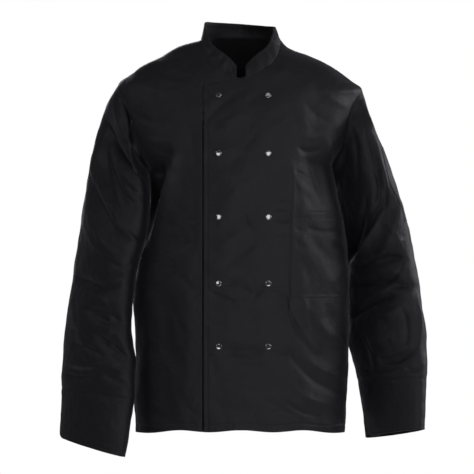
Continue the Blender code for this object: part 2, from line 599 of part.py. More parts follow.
def make_cuff(side, name, sleeve, twill):
    """A cuff: a band from the sleeve's last ring to its own lower ring, open along a slit, whose lower
    corners are rounded off."""
    size = CUFFS[side]
    start = round(size["slit"] * ROUND / 360)
    turn = (np.linspace(0, 2 * math.pi, ROUND + 1) + math.radians(size["slit"]))[None, :]
    top = np.roll(sleeve[-1, :-1], -start, axis=0)
    top = np.concatenate([top, top[:1]])[None]
    outer, inner = np.array(size["outer"]), np.array(size["inner"])
    across = (outer + inner) / 2 + (outer - inner) / 2 * np.cos(turn)[..., None]
    y = size["middle"] - SLEEVE_SLANT[side] * np.cos(turn) - CUFF_DEPTH * np.sin(turn)
    foot = np.stack([side * across[..., 0], y, across[..., 1] - size["dip"] * np.sin(turn)], axis=-1)
    down = np.linspace(0, 1, CUFF_ROWS + 1)[:, None, None]
    span = foot - top
    seam = BAND_SEAM / np.linalg.norm(span, axis=-1, keepdims=True)
    band = top + span * (seam + (1 - seam) * down)

    along = np.gradient(band, axis=1)
    along[:, 0] = along[:, -1] = band[:, 1] - band[:, -2]
    normal = np.cross(along, span)
    normal /= np.linalg.norm(normal, axis=-1, keepdims=True)
    normal *= np.sign((normal * (band - band.mean(axis=1, keepdims=True))).sum(axis=-1).mean())
    step = along[:, 0] / np.linalg.norm(along[:, 0], axis=-1, keepdims=True)
    opening = SLIT_WIDTH * ease(np.arange(CUFF_ROWS + 1), SLIT_FROM - 1, CUFF_ROWS)[:, None]
    band[SLIT_FROM:, 0] += (step * opening)[SLIT_FROM:]
    band[SLIT_FROM:, -1] -= (step * opening)[SLIT_FROM:]
    band[-1, [0, -1], 2] += CORNER_LIFT
    cloth(name, band, normal, BAND_WALL, twill, closed_rows=SLIT_FROM)


def make_pen_pocket(sleeve, normals, twill):
    """The pen pocket, from the sleeve's own points on its outer side, moved out."""
    ring_points, ring_normals = sleeve[:, :-1], normals[:, :-1]
    cells = np.arange(PEN_CELLS[0], PEN_CELLS[1] + 1)
    rows = slice(PEN_ROWS[0], PEN_ROWS[1] + 1)
    points = np.take(ring_points, cells, axis=1)[rows]
    outwards = np.take(ring_normals, cells, axis=1)[rows]
    cloth("pen_pocket", points + (WALL + SEAM) * outwards, outwards, WALL, twill)


def make_studs(panel, keep, gloss):
    """Press-stud caps, turned from a domed profile, each standing square on the cloth."""
    columns = panel.shape[1]
    faces = []
    for row, column in zip(*np.nonzero(keep)):
        low = int(row) * columns + int(column)
        high = low + columns
        faces += [(low, low + 1, high + 1), (low, high + 1, high)]
    skin = BVHTree.FromPolygons([tuple(point) for point in panel.reshape(-1, 3).tolist()], faces)

    arc = np.linspace(0, math.pi / 2, 5)
    dome = STUD_RISE - STUD_RIM
    profile = [(0.0, 0.0, STUD_RISE)]
    profile += [(STUD_RADIUS * math.sin(a), 0.0, STUD_RIM + dome * math.cos(a)) for a in arc[1:]]
    profile += [(STUD_FOOT, 0.0, 0.0), (0.0, 0.0, 0.0)]
    lines = [(i, i + 1) for i in range(len(profile) - 1)]
    for column, side in zip(STUD_X, ("right", "left")):
        for number, height in enumerate(STUD_HEIGHTS, start=1):
            spot, facing, _, _ = skin.ray_cast(Vector((column, -1.0, height)), Vector((0, 1, 0)))
            facing = facing if facing.y < 0 else -facing
            name = f"stud_{side}_{number}"
            mesh = bpy.data.meshes.new(name)
            mesh.from_pydata(profile, lines, [])
            stud = place(name, mesh, gloss)
            turn = stud.modifiers.new("turn", "SCREW")
            turn.steps = turn.render_steps = STUD_SIDES
            turn.use_merge_vertices = True
            turn.merge_threshold = 0.0001
            stud.rotation_mode = "QUATERNION"
            stud.rotation_quaternion = facing.to_track_quat("Z", "Y")
            stud.location = spot + facing * SEAM


for old in list(bpy.data.objects):
    bpy.data.objects.remove(old)
jacket = bpy.data.collections.new("chef_jacket")
bpy.context.scene.collection.children.link(jacket)
TWILL = finish("black_twill", (0.018, 0.018, 0.021), 0.75)
GLOSS = finish("gloss_black", (0.010, 0.010, 0.012), 0.12)

over_points, over_cells = make_fronts(TWILL)
make_back(TWILL)
make_collar(TWILL)
for side, word in ((-1, "right"), (1, "left")):
    grid, directions = make_sleeve(side, f"sleeve_{word}", TWILL)
    make_cuff(side, f"cuff_{word}", grid, TWILL)
    if side == 1:
        make_pen_pocket(grid, directions, TWILL)
make_studs(over_points, over_cells, GLOSS)
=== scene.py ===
# %% [markdown]
# # A chef jacket, filled out as if worn
#
# This jacket is black cotton twill: two overlapping fronts, a back, a stand collar, sleeves with slit
# cuffs, a patch pocket, a pen pocket and ten press studs. Nobody is in it, so the neck, the hem and the
# cuffs show the inside of the cloth.
#
# The imported solids are loaded first. They stay where they are and carry the collisions. Every piece of
# cloth made below takes the place of one of them, on the same form, with finer folds and real seams.

# %% Load the solids
import json
import math

import bpy
import numpy as np
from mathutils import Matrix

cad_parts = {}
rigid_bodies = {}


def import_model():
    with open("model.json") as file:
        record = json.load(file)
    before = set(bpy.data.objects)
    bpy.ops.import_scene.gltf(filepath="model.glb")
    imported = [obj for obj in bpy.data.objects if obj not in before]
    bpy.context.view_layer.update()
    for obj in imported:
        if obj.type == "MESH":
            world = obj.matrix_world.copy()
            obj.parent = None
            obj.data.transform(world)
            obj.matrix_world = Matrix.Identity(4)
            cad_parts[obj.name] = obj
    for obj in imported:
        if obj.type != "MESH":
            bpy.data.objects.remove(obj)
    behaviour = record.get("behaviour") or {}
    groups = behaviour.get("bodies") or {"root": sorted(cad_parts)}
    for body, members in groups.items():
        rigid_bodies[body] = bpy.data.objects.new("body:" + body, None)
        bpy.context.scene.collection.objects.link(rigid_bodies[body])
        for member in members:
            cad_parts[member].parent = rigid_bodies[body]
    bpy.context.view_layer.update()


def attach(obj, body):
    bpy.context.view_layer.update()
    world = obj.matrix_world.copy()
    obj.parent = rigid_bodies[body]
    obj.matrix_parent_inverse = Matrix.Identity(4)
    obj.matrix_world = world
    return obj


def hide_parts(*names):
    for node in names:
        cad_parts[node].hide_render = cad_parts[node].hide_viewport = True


for old in list(bpy.data.objects):
    bpy.data.objects.remove(old)
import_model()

# %% [markdown]
# ## Camera, floor and light
#
# A very long lens, sixteen metres away, looks level at the middle of the jacket, which keeps its lines
# nearly parallel. The floor is a pale disc at the wearer's feet, one and a half metres below the neck.
#
# Black cloth shows its folds only through light that comes from somewhere. Two soft front lights stand to
# the sides of the camera's axis, where the studs' crowns mirror them. A stronger one stands to the wearer's
# left, a low one lifts the hem, and weaker ones touch the edges, the shoulders and the back.

# %% Place the camera
METRES_PER_FRAME = 0.9006
DISTANCE = 16.0
VIEW_MIDDLE = (-0.0076, -0.3705)
SENSOR = 36.0

camera = bpy.data.objects.new("camera", bpy.data.cameras.new("camera"))
camera.data.sensor_width = SENSOR
camera.data.lens = SENSOR * DISTANCE / METRES_PER_FRAME
camera.location = (VIEW_MIDDLE[0], -DISTANCE, VIEW_MIDDLE[1])
camera.rotation_euler = (math.pi / 2, 0, 0)
bpy.context.scene.collection.objects.link(camera)
bpy.context.scene.camera = camera
print("lens:", round(camera.data.lens, 1), "mm")

# %% Lay the floor
FLOOR_HEIGHT, FLOOR_RADIUS = -1.5, 2.4


def add_mesh(name, points, faces):
    """An object made of points and faces."""
    mesh = bpy.data.meshes.new(name)
    mesh.from_pydata(points.reshape(-1, 3).tolist(), [], faces)
    made = bpy.data.objects.new(name, mesh)
    bpy.context.scene.collection.objects.link(made)
    return made


def tube_faces(ids):
    """Four-sided faces between rings of point numbers, each ring closed on itself."""
    around = np.roll(ids, -1, axis=1)
    return np.stack([ids[:-1], ids[1:], around[1:], around[:-1]], axis=-1).reshape(-1, 4).tolist()


def disc(name, height, radius, rings=6, sides=64):
    """A flat disc as a grid in radius and angle: (r cos a, r sin a, height)."""
    r = np.linspace(0.001, radius, rings)[:, None]
    a = np.linspace(0, 2 * math.pi, sides, endpoint=False)[None, :]
    points = np.stack([r * np.cos(a), r * np.sin(a), height + 0 * r * a], axis=-1)
    ids = np.arange(rings * sides).reshape(rings, sides)
    return add_mesh(name, points, [ids[0].tolist(), *tube_faces(ids)])


floor = disc("floor", FLOOR_HEIGHT, FLOOR_RADIUS)
print("floor:", FLOOR_RADIUS, "m in radius")

# %% Hang the lights
LIGHTS = (
    # name, place, size, watts, colour
    ("front_light_right", (-1.10, -3.6, -0.12), 1.0, 10.0, (0.95, 0.95, 1.0)),
    ("front_light_left", (1.00, -3.6, 0.25), 0.9, 8.0, (0.95, 0.95, 1.0)),
    ("key_light", (2.2, -3.4, 1.8), 1.4, 18.0, (0.94, 0.93, 1.0)),
    ("side_light", (2.8, 0.0, 0.4), 1.4, 32.0, (0.95, 0.95, 1.0)),
    ("rim_light", (2.4, 1.3, 0.3), 1.4, 12.0, (0.95, 0.95, 1.0)),
    ("low_light", (0.75, -3.4, -1.66), 1.0, 16.0, (0.95, 0.95, 1.0)),
    ("back_light", (-0.6, 3.6, 0.6), 1.8, 22.0, (0.95, 0.95, 1.0)),
    ("right_light", (-2.4, -1.6, 1.2), 1.2, 10.0, (0.94, 0.95, 1.0)),
    ("top_light", (0.3, -1.6, 2.8), 1.6, 8.0, (0.95, 0.95, 1.0)),
)
LOOK_AT = np.array([0.0, 0.0, -0.32])


def hang_light(name, place, size, watts, colour):
    """A square area light at a place, turned to the middle of the jacket."""
    lamp = bpy.data.lights.new(name, "AREA")
    lamp.shape = "SQUARE"
    lamp.size = size
    lamp.energy = watts
    lamp.color = colour
    made = bpy.data.objects.new(name, lamp)
    made.location = place
    away = np.array(place) - LOOK_AT
    across = math.hypot(away[0], away[1])
    made.rotation_euler = (math.atan2(across, away[2]), 0, math.atan2(away[0], -away[1]))
    bpy.context.scene.collection.objects.link(made)


for light in LIGHTS:
    hang_light(*light)
print("lights:", len(LIGHTS))

# %% [markdown]
# ## The room
#
# The room is white where the camera sees it, and dim where it lights the cloth. With a bright room all
# round, black twill turns into even grey and the folds go.

# %% Paint the room
ROOM_GLOW = 0.10

world = bpy.data.worlds.new("room")
world.use_nodes = True
bpy.context.scene.world = world
nodes, links = world.node_tree.nodes, world.node_tree.links
nodes.clear()
seen = nodes.new("ShaderNodeLightPath")
dim, bright = nodes.new("ShaderNodeBackground"), nodes.new("ShaderNodeBackground")
dim.inputs["Color"].default_value = (0.94, 0.95, 1, 1)
dim.inputs["Strength"].default_value = ROOM_GLOW
bright.inputs["Color"].default_value = (1, 1, 1, 1)
mix = nodes.new("ShaderNodeMixShader")
out = nodes.new("ShaderNodeOutputWorld")
links.new(seen.outputs["Is Camera Ray"], mix.inputs["Fac"])
links.new(dim.outputs[0], mix.inputs[1])
links.new(bright.outputs[0], mix.inputs[2])
links.new(mix.outputs[0], out.inputs["Surface"])
bpy.context.scene.view_settings.view_transform = "Standard"
print("room glow:", ROOM_GLOW)

# %% [markdown]
# ## Sizes
#
# A jacket has no straight line to measure from, so its form is kept in short tables: one row for each
# height or ring, and a name for each column. A smooth curve through the rows gives every size between.

# %% Read a table
def table(columns, *rows):
    """Rows of numbers as a dict of named columns. The first column is the key and rises."""
    return dict(zip(columns.split(), np.array(rows, dtype=float).T))


def read(rows, column, at):
    """A column's smooth value: cubic pieces through the rows, 1 - (3u^2 - 2u^3) of one row and
    3u^2 - 2u^3 of the next, plus slopes taken from the neighbours."""
    keys = next(iter(rows.values()))
    values = rows[column]
    slopes = np.gradient(values, keys)
    at = np.clip(at, keys[0], keys[-1])
    low = np.clip(np.searchsorted(keys, at) - 1, 0, len(keys) - 2)
    step = keys[low + 1] - keys[low]
    u = (at - keys[low]) / step
    rise = 3 * u**2 - 2 * u**3
    start = (u**3 - 2 * u**2 + u) * step * slopes[low]
    end = (u**3 - u**2) * step * slopes[low + 1]
    return values[low] * (1 - rise) + start + values[low + 1] * rise + end


def ease(value, low, high):
    """0 below low, 1 above high, and 3u^2 - 2u^3 between."""
    u = np.clip((value - low) / (high - low), 0, 1)
    return u * u * (3 - 2 * u)


def unit(vectors):
    """Vectors made 1 long."""
    return vectors / np.linalg.norm(vectors, axis=-1, keepdims=True)


def running(line):
    """Length of a line from its start to each of its points."""
    return np.concatenate([[0], np.cumsum(np.linalg.norm(np.diff(line, axis=0), axis=1))])


def spaced(stops, step, pull=0.8):
    """Numbers that meet every stop and crowd round it: between two stops, t - pull sin(2 pi t) / (2 pi)
    of the way."""
    parts = []
    for a, b in zip(stops[:-1], stops[1:]):
        count = max(2, math.ceil(abs(b - a) / step))
        t = np.arange(count) / count
        parts.append(a + (b - a) * (t - pull * np.sin(2 * math.pi * t) / (2 * math.pi)))
    return np.concatenate([*parts, [stops[-1]]])


# %% The torso's rings, neckline and collar edge
WALL, BAND_WALL = 0.0016, 0.0024
SEAM, LAYER = 0.0003, 0.0010
BAND_SEAM, SLEEVE_SEAM = 0.00036, 0.00048
HEM, POCKET_FOOT, POCKET_MOUTH = -0.7370, -0.4845, -0.3220
ARMPIT = {-1: -0.2450, 1: -0.2350}
SHOULDER_TIP = {-1: -0.0817, 1: -0.0887}
FRONT_NECK, SIDE_NECK, BACK_NECK = -0.0713, 0.0040, 0.0070
OVERLAP_DROP = 0.0115
OVER_EDGE, UNDER_EDGE = -0.0700, 0.0930
NECK_END = 0.0090
ARMHOLE_FRONT, ARMHOLE_BACK = math.radians(14.5), math.radians(16.0)
ROUNDNESS = 2.3

# Half-widths to the wearer's right and left and depths to the front and back, ring by ring.
TORSO = table(
    "height right left front back",
    (-0.780, 0.1980, 0.1940, 0.118, 0.121),
    (-0.737, 0.1995, 0.1970, 0.119, 0.123),
    (-0.674, 0.2024, 0.2014, 0.121, 0.125),
    (-0.590, 0.1995, 0.2043, 0.124, 0.128),
    (-0.534, 0.2025, 0.2048, 0.125, 0.129),
    (-0.484, 0.2050, 0.2052, 0.126, 0.130),
    (-0.435, 0.2005, 0.2039, 0.127, 0.131),
    (-0.370, 0.1830, 0.1978, 0.127, 0.132),
    (-0.310, 0.1745, 0.1880, 0.126, 0.132),
    (-0.280, 0.1725, 0.1805, 0.125, 0.132),
    (-0.260, 0.1740, 0.1774, 0.1235, 0.1315),
    (-0.245, 0.1730, 0.1735, 0.122, 0.131),
    (-0.232, 0.1810, 0.1730, 0.121, 0.131),
    (-0.220, 0.1920, 0.1820, 0.119, 0.130),
    (-0.203, 0.2040, 0.1970, 0.117, 0.129),
    (-0.163, 0.2220, 0.2170, 0.110, 0.126),
    (-0.135, 0.2300, 0.2250, 0.104, 0.122),
    (-0.110, 0.2365, 0.2300, 0.096, 0.117),
    (-0.088, 0.2365, 0.2290, 0.087, 0.111),
    (-0.076, 0.2290, 0.2130, 0.081, 0.106),
    (-0.065, 0.2145, 0.1985, 0.075, 0.102),
    (-0.053, 0.1975, 0.1805, 0.068, 0.097),
    (-0.042, 0.1810, 0.1635, 0.060, 0.091),
    (-0.030, 0.1550, 0.1385, 0.050, 0.084),
    (-0.020, 0.1390, 0.1090, 0.041, 0.078),
    (-0.012, 0.1240, 0.0900, 0.034, 0.074),
    (-0.004, 0.1040, 0.0805, 0.027, 0.070),
    (0.004, 0.0765, 0.0745, 0.020, 0.066),
    (0.010, 0.0660, 0.0660, 0.016, 0.063),
)
# The neckline on each front, from its end at the middle to the side of the neck.
NECKLINE = table(
    "share x height",
    (0.00, 0.0090, -0.0713),
    (0.14, 0.0255, -0.0642),
    (0.29, 0.0420, -0.0550),
    (0.46, 0.0580, -0.0420),
    (0.66, 0.0700, -0.0230),
    (1.00, 0.0765, 0.0040),
)
# The collar's top edge, from the front end to the middle of the back.
COLLAR_TOP = table(
    "share x y height",
    (0.00, 0.0078, -0.0630, -0.0460),
    (0.10, 0.0190, -0.0595, -0.0340),
    (0.21, 0.0325, -0.0530, -0.0220),
    (0.33, 0.0470, -0.0420, -0.0110),
    (0.45, 0.0585, -0.0270, 0.0050),
    (0.56, 0.0655, -0.0060, 0.0255),
    (0.67, 0.0675, 0.0120, 0.0330),
    (0.84, 0.0460, 0.0440, 0.0350),
    (1.00, 0.0000, 0.0590, 0.0360),
)
print("torso rings:", len(TORSO["height"]))

# %% [markdown]
# ## The torso's form
#
# A torso is close to an ellipse at every height, a little squarer. Its power of 2.3 in place of 2 gives
# that. A point on it is named by its heading, which is 0 at the front and grows to the wearer's left,
# and by its height.

# %% Work out the torso
def torso_point(heading, height):
    """A squared ellipse: radius = (|sin / width|^2.3 + |cos / depth|^2.3)^(-1 / 2.3)."""
    sine, cosine = np.sin(heading), np.cos(heading)
    width = np.where(sine > 0, read(TORSO, "left", height), read(TORSO, "right", height))
    depth = np.where(cosine > 0, read(TORSO, "front", height), read(TORSO, "back", height))
    radius = (np.abs(sine / width) ** ROUNDNESS + np.abs(cosine / depth) ** ROUNDNESS) ** (-1 / ROUNDNESS)
    return np.stack([radius * sine, -radius * cosine, height + 0 * radius], axis=-1)


def front_heading(x, height):
    """The heading at which the torso's front has this x."""
    width = np.where(x > 0, read(TORSO, "left", height), read(TORSO, "right", height))
    share = np.clip(np.abs(x) / width, 0, 1)
    depth = read(TORSO, "front", height) * (1 - share**ROUNDNESS) ** (1 / ROUNDNESS)
    return np.arctan2(x, depth)


def normals_of(surface, u, v, step=1e-4):
    """Unit normals of a surface: the cross product of its slopes along u and v."""
    across = surface(u + step, v) - surface(u - step, v)
    up = surface(u, v + step) - surface(u, v - step)
    return unit(np.cross(across, up))


waist = torso_point(np.array([0, math.pi / 2, math.pi, -math.pi / 2]), np.full(4, -0.31))
print("waist, across and deep:", round(waist[1, 0] - waist[3, 0], 3), round(waist[2, 1] - waist[0, 1], 3))

# %% [markdown]
# ## Folds
#
# Folds could come from a cloth simulation. Here each one has a place of its own, so they are listed one by
# one: a bent line through three points, a width, and a height that is below 0 for a trough. The section has
# a crisp crest and long flanks, and lean makes one flank steeper than the other.

# %% The folds' table
FRONT, BACK = -1, 1  # which way the folded cloth faces


def fold_rows(*rows):
    """Rows of millimetres, and a lean that is a share of the width, as an array of metres."""
    return np.array(rows, dtype=float) / ([1000] * 8 + [1])


# The folds of the torso, 0, and of the right and left sleeve, -1 and 1.
# Columns: x1 z1 x2 z2 x3 z3 width height lean.
FOLDS = {
    (0, FRONT): fold_rows(
        (-152, -228, -168, -300, -186, -390, 18, -11, 0),
        (-122, -205, -136, -290, -160, -390, 18, 8, 0),
        (112, -203, 137, -243, 156, -305, 18, -6.5, 0),
        (85, -215, 105, -262, 128, -318, 18, 4.2, 0),
        (87, -492, 118, -560, 176, -612, 19, -5, 0),
        (112, -478, 148, -535, 190, -560, 18, 4, 0),
        (87, -585, 128, -632, 188, -662, 18, -4.5, 0),
        (-60, -475, -10, -486, 40, -462, 17, -3, 0),
        (-40, -580, 8, -592, 55, -578, 17, -3, 0),
        (-150, -480, -140, -600, -155, -730, 28, -6, 0),
        (-104, -430, -100, -560, -108, -730, 26, 4, 0),
        # smaller ones, where the cloth breaks
        (-163, -205, -146, -211, -125, -211, 6, -5.1, 0.2),
        (-125, -205, -133, -258, -169, -372, 7, 5.9, 0.5),
        (-144, -63, -123, -67, -97, -68, 7, -2, 0),
        (-131, -87, -112, -91, -84, -108, 7, -2, 0),
        (-211, -133, -173, -152, -131, -160, 10, -2.7, 0),
        (-177, -186, -154, -192, -131, -190, 7, 2.7, 0),
        (-101, -239, -97, -255, -99, -274, 3.5, -1.7, 0),
        (-93, -291, -89, -308, -93, -327, 3.5, -1.7, 0),
        (-97, -336, -91, -340, -84, -336, 3.2, -1.5, 0),
        (-95, -353, -89, -369, -91, -390, 3.5, -1.7, 0),
        (-123, -399, -104, -384, -86, -382, 4.5, -2.6, 0),
        (-123, -437, -108, -452, -89, -471, 4.5, -2.4, 0),
        (-139, -490, -120, -524, -112, -566, 9, -2.4, 0),
        (-154, -585, -135, -623, -131, -680, 10, 2.4, 0),
        (-112, -671, -97, -695, -78, -709, 6, -2.2, 0),
        (-173, -690, -154, -709, -131, -718, 6, -1.9, 0),
        (-104, -148, -93, -186, -86, -234, 9, -2, 0),
        (-63, -150, -36, -123, 17, -87, 4.5, -3.1, 0.3),
        (-51, -167, -29, -142, 17, -114, 5, -1.7, 0),
        (-63, -125, -48, -108, -17, -95, 4, 2, 0),
        (-25, -118, -2, -104, 40, -97, 5, 1.7, 0),
        (-21, -239, 4, -205, 40, -163, 12, -2.4, 0),
        (-36, -310, -2, -277, 48, -247, 12, 2, 0),
        (-29, -429, 2, -399, 44, -369, 12, -3.4, 0.3),
        (-48, -399, -17, -372, 29, -342, 10, 2.2, 0),
        (-9, -300, 9, -342, 40, -376, 9, -1.7, 0),
        (-36, -458, -9, -462, 23, -479, 4.5, -3.7, 0.3),
        (-36, -475, -9, -490, 17, -498, 5, 2.2, 0),
        (-61, -471, -44, -481, -17, -488, 4, -2.6, 0),
        (-51, -437, -25, -443, 21, -458, 5, 2, 0),
        (17, -490, 32, -475, 48, -464, 4, -2.2, 0),
        (55, -471, 74, -479, 91, -494, 4, -2.4, 0),
        (-63, -528, -49, -536, -30, -541, 4, -2, 0),
        (-9, -513, 17, -524, 51, -517, 7, -2, 0),
        (-38, -578, -9, -589, 48, -578, 4.8, -4.1, 0.3),
        (-32, -597, 2, -604, 44, -599, 5, 2.7, 0),
        (4, -610, 25, -616, 51, -608, 4, -3.1, 0),
        (-32, -562, 6, -570, 44, -562, 5, 2, 0),
        (-63, -589, -53, -608, -48, -635, 5, -1.7, 0),
        (55, -585, 74, -595, 97, -589, 5, -2.6, 0),
        (-21, -646, 17, -661, 65, -654, 8, -2.4, 0),
        (-51, -684, -17, -695, 29, -688, 7, -2, 0),
        (40, -676, 67, -688, 93, -703, 5, -2.4, 0),
        (55, -707, 78, -699, 104, -711, 4, -2, 0),
        (97, -236, 97, -329, 95, -418, 3.2, 2.6, 0.4),
        (93, -418, 91, -490, 91, -576, 3.5, 2, 0.4),
        (65, -276, 78, -279, 93, -277, 2.8, -2.4, 0),
        (68, -289, 80, -291, 93, -291, 2.6, -2, 0),
        (65, -302, 80, -306, 93, -304, 2.8, -2.4, 0),
        (61, -323, 76, -321, 93, -325, 2.6, -1.9, 0),
        (61, -340, 80, -342, 93, -338, 2.8, -2.4, 0),
        (59, -369, 74, -372, 91, -369, 3, -2.6, 0),
        (67, -390, 80, -391, 93, -388, 2.6, -2, 0),
        (63, -418, 78, -422, 91, -416, 3, -1.9, 0),
        (70, -445, 82, -448, 93, -445, 2.8, -1.7, 0),
        (103, -376, 110, -388, 120, -391, 3.6, -3.1, 0),
        (101, -353, 112, -359, 123, -357, 3.4, -1.7, 0),
        (108, -200, 131, -211, 160, -200, 6, -5.1, 0.3),
        (131, -224, 144, -255, 154, -300, 8, -4.4, 0.3),
        (99, -245, 116, -255, 137, -270, 6, -3.7, 0),
        (104, -281, 123, -296, 142, -319, 8, -2.6, 0),
        (162, -186, 171, -220, 180, -266, 7, 4.4, 0.4),
        (104, -175, 135, -182, 165, -171, 8, 2.7, 0),
        (112, -106, 135, -133, 169, -156, 10, -2.4, 0),
        (146, -80, 169, -106, 200, -125, 9, 2.2, 0),
        (86, -118, 104, -152, 112, -186, 9, -1.7, 0),
        (104, -323, 146, -325, 192, -319, 2.8, 1.5, 0),
        (123, -350, 154, -361, 188, -357, 6, -2.7, 0),
        (169, -376, 182, -390, 196, -393, 4, -3.4, 0),
        (135, -369, 150, -395, 180, -418, 8, -2.7, 0),
        (108, -399, 123, -433, 131, -471, 9, -2, 0),
        (150, -418, 169, -452, 192, -479, 9, 2.2, 0),
        (87, -484, 114, -549, 150, -593, 5.5, 4.7, 0.5),
        (154, -488, 177, -532, 205, -585, 7, -4, 0.3),
        (87, -576, 127, -631, 194, -673, 6.5, -3.6, 0.3),
        (112, -589, 146, -619, 192, -638, 7, 3.7, 0),
        (89, -642, 123, -673, 169, -688, 7, 3.1, 0),
        (86, -680, 108, -697, 142, -709, 5, -4.1, 0),
        (127, -490, 135, -532, 162, -566, 8, -3.1, 0),
        (180, -688, 188, -711, 194, -733, 6, -2.7, 0),
        (-86, -19, -68, -49, -36, -72, 8, 1.7, 0),
        (40, -76, 70, -65, 86, -38, 8, 1.7, 0),
        (-192, -80, -154, -95, -120, -91, 10, 2.4, 0),
        (-173, -46, -150, -61, -116, -57, 9, -1.9, 0),
        (86, -38, 120, -53, 162, -61, 9, -2, 0),
        (169, -87, 192, -95, 218, -91, 6, 2, 0),
        # the planes and valleys under the arms
        (-127, -212, -134, -262, -168, -372, 11, 8.5, 0.6),
        (-150, -218, -158, -262, -176, -330, 15, -11, 0),
    ),
    (0, BACK): fold_rows(
        (-165, -240, -120, -300, -85, -420, 24, -11, 0),
        (165, -235, 125, -310, 95, -440, 24, -11, 0),
        (-60, -180, -50, -340, -75, -520, 28, 7, 0),
        (55, -200, 60, -360, 85, -540, 28, 7, 0),
        (5, -380, -5, -540, 10, -735, 26, -8, 0),
        (-130, -440, -60, -470, 0, -455, 20, -7, 0),
        (120, -500, 140, -620, 130, -737, 24, -8, 0),
        (-125, -520, -140, -640, -130, -737, 24, -7, 0),
    ),
    (-1, FRONT): fold_rows(
        (-262, -138, -240, -205, -186, -250, 15, -15, 0),
        (-266, -200, -266, -300, -216, -365, 18, -12, 0),
        (-292, -230, -290, -320, -245, -402, 18, 8.4, 0),
        (-314, -450, -275, -468, -235, -468, 15, -10.8, 0),
        (-290, -508, -262, -526, -225, -530, 15, -10.8, 0),
        (-275, -560, -245, -585, -215, -605, 15, -10.8, 0),
        (-330, -620, -300, -624, -270, -616, 14, -5, 0),
        # smaller ones, where the cloth breaks
        (-260, -144, -236, -206, -184, -252, 6, -9, 0.3),
        (-245, -118, -222, -175, -180, -220, 6, 4.8, 0),
        (-226, -108, -204, -171, -176, -236, 6, -8.5, 0),
        (-274, -163, -276, -243, -245, -327, 6, 6.2, -0.5),
        (-245, -327, -226, -353, -198, -376, 6, 6.2, -0.5),
        (-268, -186, -260, -262, -226, -327, 8, -7.5, 0.3),
        (-257, -205, -234, -274, -192, -312, 7, -4.8, 0),
        (-234, -239, -211, -277, -180, -293, 6, -4.4, 0),
        (-232, -293, -222, -306, -207, -312, 4, -2.6, 0),
        (-245, -205, -222, -255, -184, -281, 6, 3.5, 0),
        (-298, -329, -283, -376, -253, -407, 8, 3.1, 0),
        (-245, -418, -226, -426, -196, -418, 5, -3.5, 0),
        (-317, -448, -294, -454, -268, -471, 5, -5.6, 0.3),
        (-321, -471, -291, -477, -260, -494, 6, 4, 0),
        (-260, -464, -234, -445, -203, -445, 6, -4, 0),
        (-298, -509, -260, -513, -226, -532, 5, -5.6, 0.3),
        (-325, -490, -306, -559, -276, -638, 8, 2.6, 0.3),
        (-272, -532, -253, -543, -230, -555, 5, 4, 0),
        (-283, -551, -245, -574, -205, -606, 5, -5.6, 0.3),
        (-260, -490, -249, -540, -253, -589, 7, 3.5, 0),
        (-329, -570, -298, -578, -260, -597, 6, -4, 0),
        (-340, -629, -310, -636, -279, -631, 5, -5.3, 0),
        (-333, -608, -298, -616, -260, -612, 5, 3.4, 0),
        (-260, -631, -234, -642, -207, -654, 4.5, -4, 0),
        (-245, -616, -226, -623, -207, -627, 4.5, 3.1, 0),
        (-336, -536, -321, -547, -298, -547, 5, -3.1, 0),
        # the planes and valleys under the arms
        (-232, -100, -214, -152, -184, -228, 9, -12, 0),
        (-262, -170, -254, -240, -212, -318, 14, -10, 0),
        (-276, -176, -274, -260, -200, -376, 10, 10.5, -0.6),
    ),
    (-1, BACK): fold_rows(
        (-300, -300, -250, -330, -205, -330, 18, -12, 0),
        (-310, -390, -265, -420, -220, -415, 17, -12, 0),
        (-320, -480, -275, -500, -230, -490, 16, -10.8, 0),
        (-325, -570, -280, -590, -230, -570, 16, -9.6, 0),
    ),
    (1, FRONT): fold_rows(
        (262, -220, 278, -290, 240, -370, 17, -13.2, 0),
        (292, -270, 296, -330, 265, -400, 18, 9.6, 0),
        (225, -430, 272, -415, 312, -412, 15, -12, 0),
        (212, -465, 270, -456, 330, -468, 15, -10.8, 0),
        (212, -525, 245, -500, 290, -488, 16, -13.2, 0),
        (245, -592, 285, -598, 325, -585, 14, -9.6, 0),
        # smaller ones, where the cloth breaks
        (237, -125, 253, -167, 270, -198, 6, 4.4, 0.3),
        (258, -217, 281, -285, 264, -327, 5.5, 6.1, 0.5),
        (264, -327, 247, -365, 220, -410, 5.5, 6.1, 0.5),
        (249, -236, 260, -285, 241, -331, 8, -7, 0.3),
        (230, -148, 241, -198, 249, -239, 8, -4, 0),
        (211, -167, 218, -217, 218, -274, 8, -4.4, 0),
        (237, -293, 230, -327, 211, -357, 6, -5.3, 0),
        (211, -391, 218, -399, 230, -395, 6, -5.7, 0),
        (217, -429, 272, -410, 315, -414, 5, -5.6, 0.3),
        (249, -418, 283, -388, 306, -376, 7, 4, 0),
        (207, -464, 270, -458, 306, -426, 5, -5.6, 0.3),
        (226, -445, 272, -433, 306, -445, 6, 4.4, 0),
        (274, -471, 302, -464, 334, -467, 4.5, -4.8, 0),
        (209, -528, 241, -498, 291, -486, 5, -5.6, 0.3),
        (218, -498, 249, -479, 287, -471, 6, 4.8, 0),
        (257, -521, 283, -513, 310, -494, 6, 5.7, 0),
        (226, -547, 241, -585, 253, -627, 5, -5.3, 0.3),
        (237, -566, 264, -562, 298, -547, 6, 4.4, 0),
        (257, -600, 287, -608, 327, -587, 5, -5.6, 0.3),
        (264, -581, 294, -585, 329, -566, 6, 4, 0),
        (334, -479, 340, -532, 336, -589, 6, 4.8, 0.3),
        (302, -502, 314, -540, 310, -578, 7, -4, 0),
        (237, -623, 264, -625, 298, -619, 4.5, -4, 0),
        (310, -616, 325, -623, 344, -619, 4.5, -3.5, 0),
        (272, -342, 294, -369, 310, -407, 7, 3.5, 0),
        # the planes and valleys under the arms
        (272, -304, 248, -366, 206, -422, 10, 12.5, 0.6),
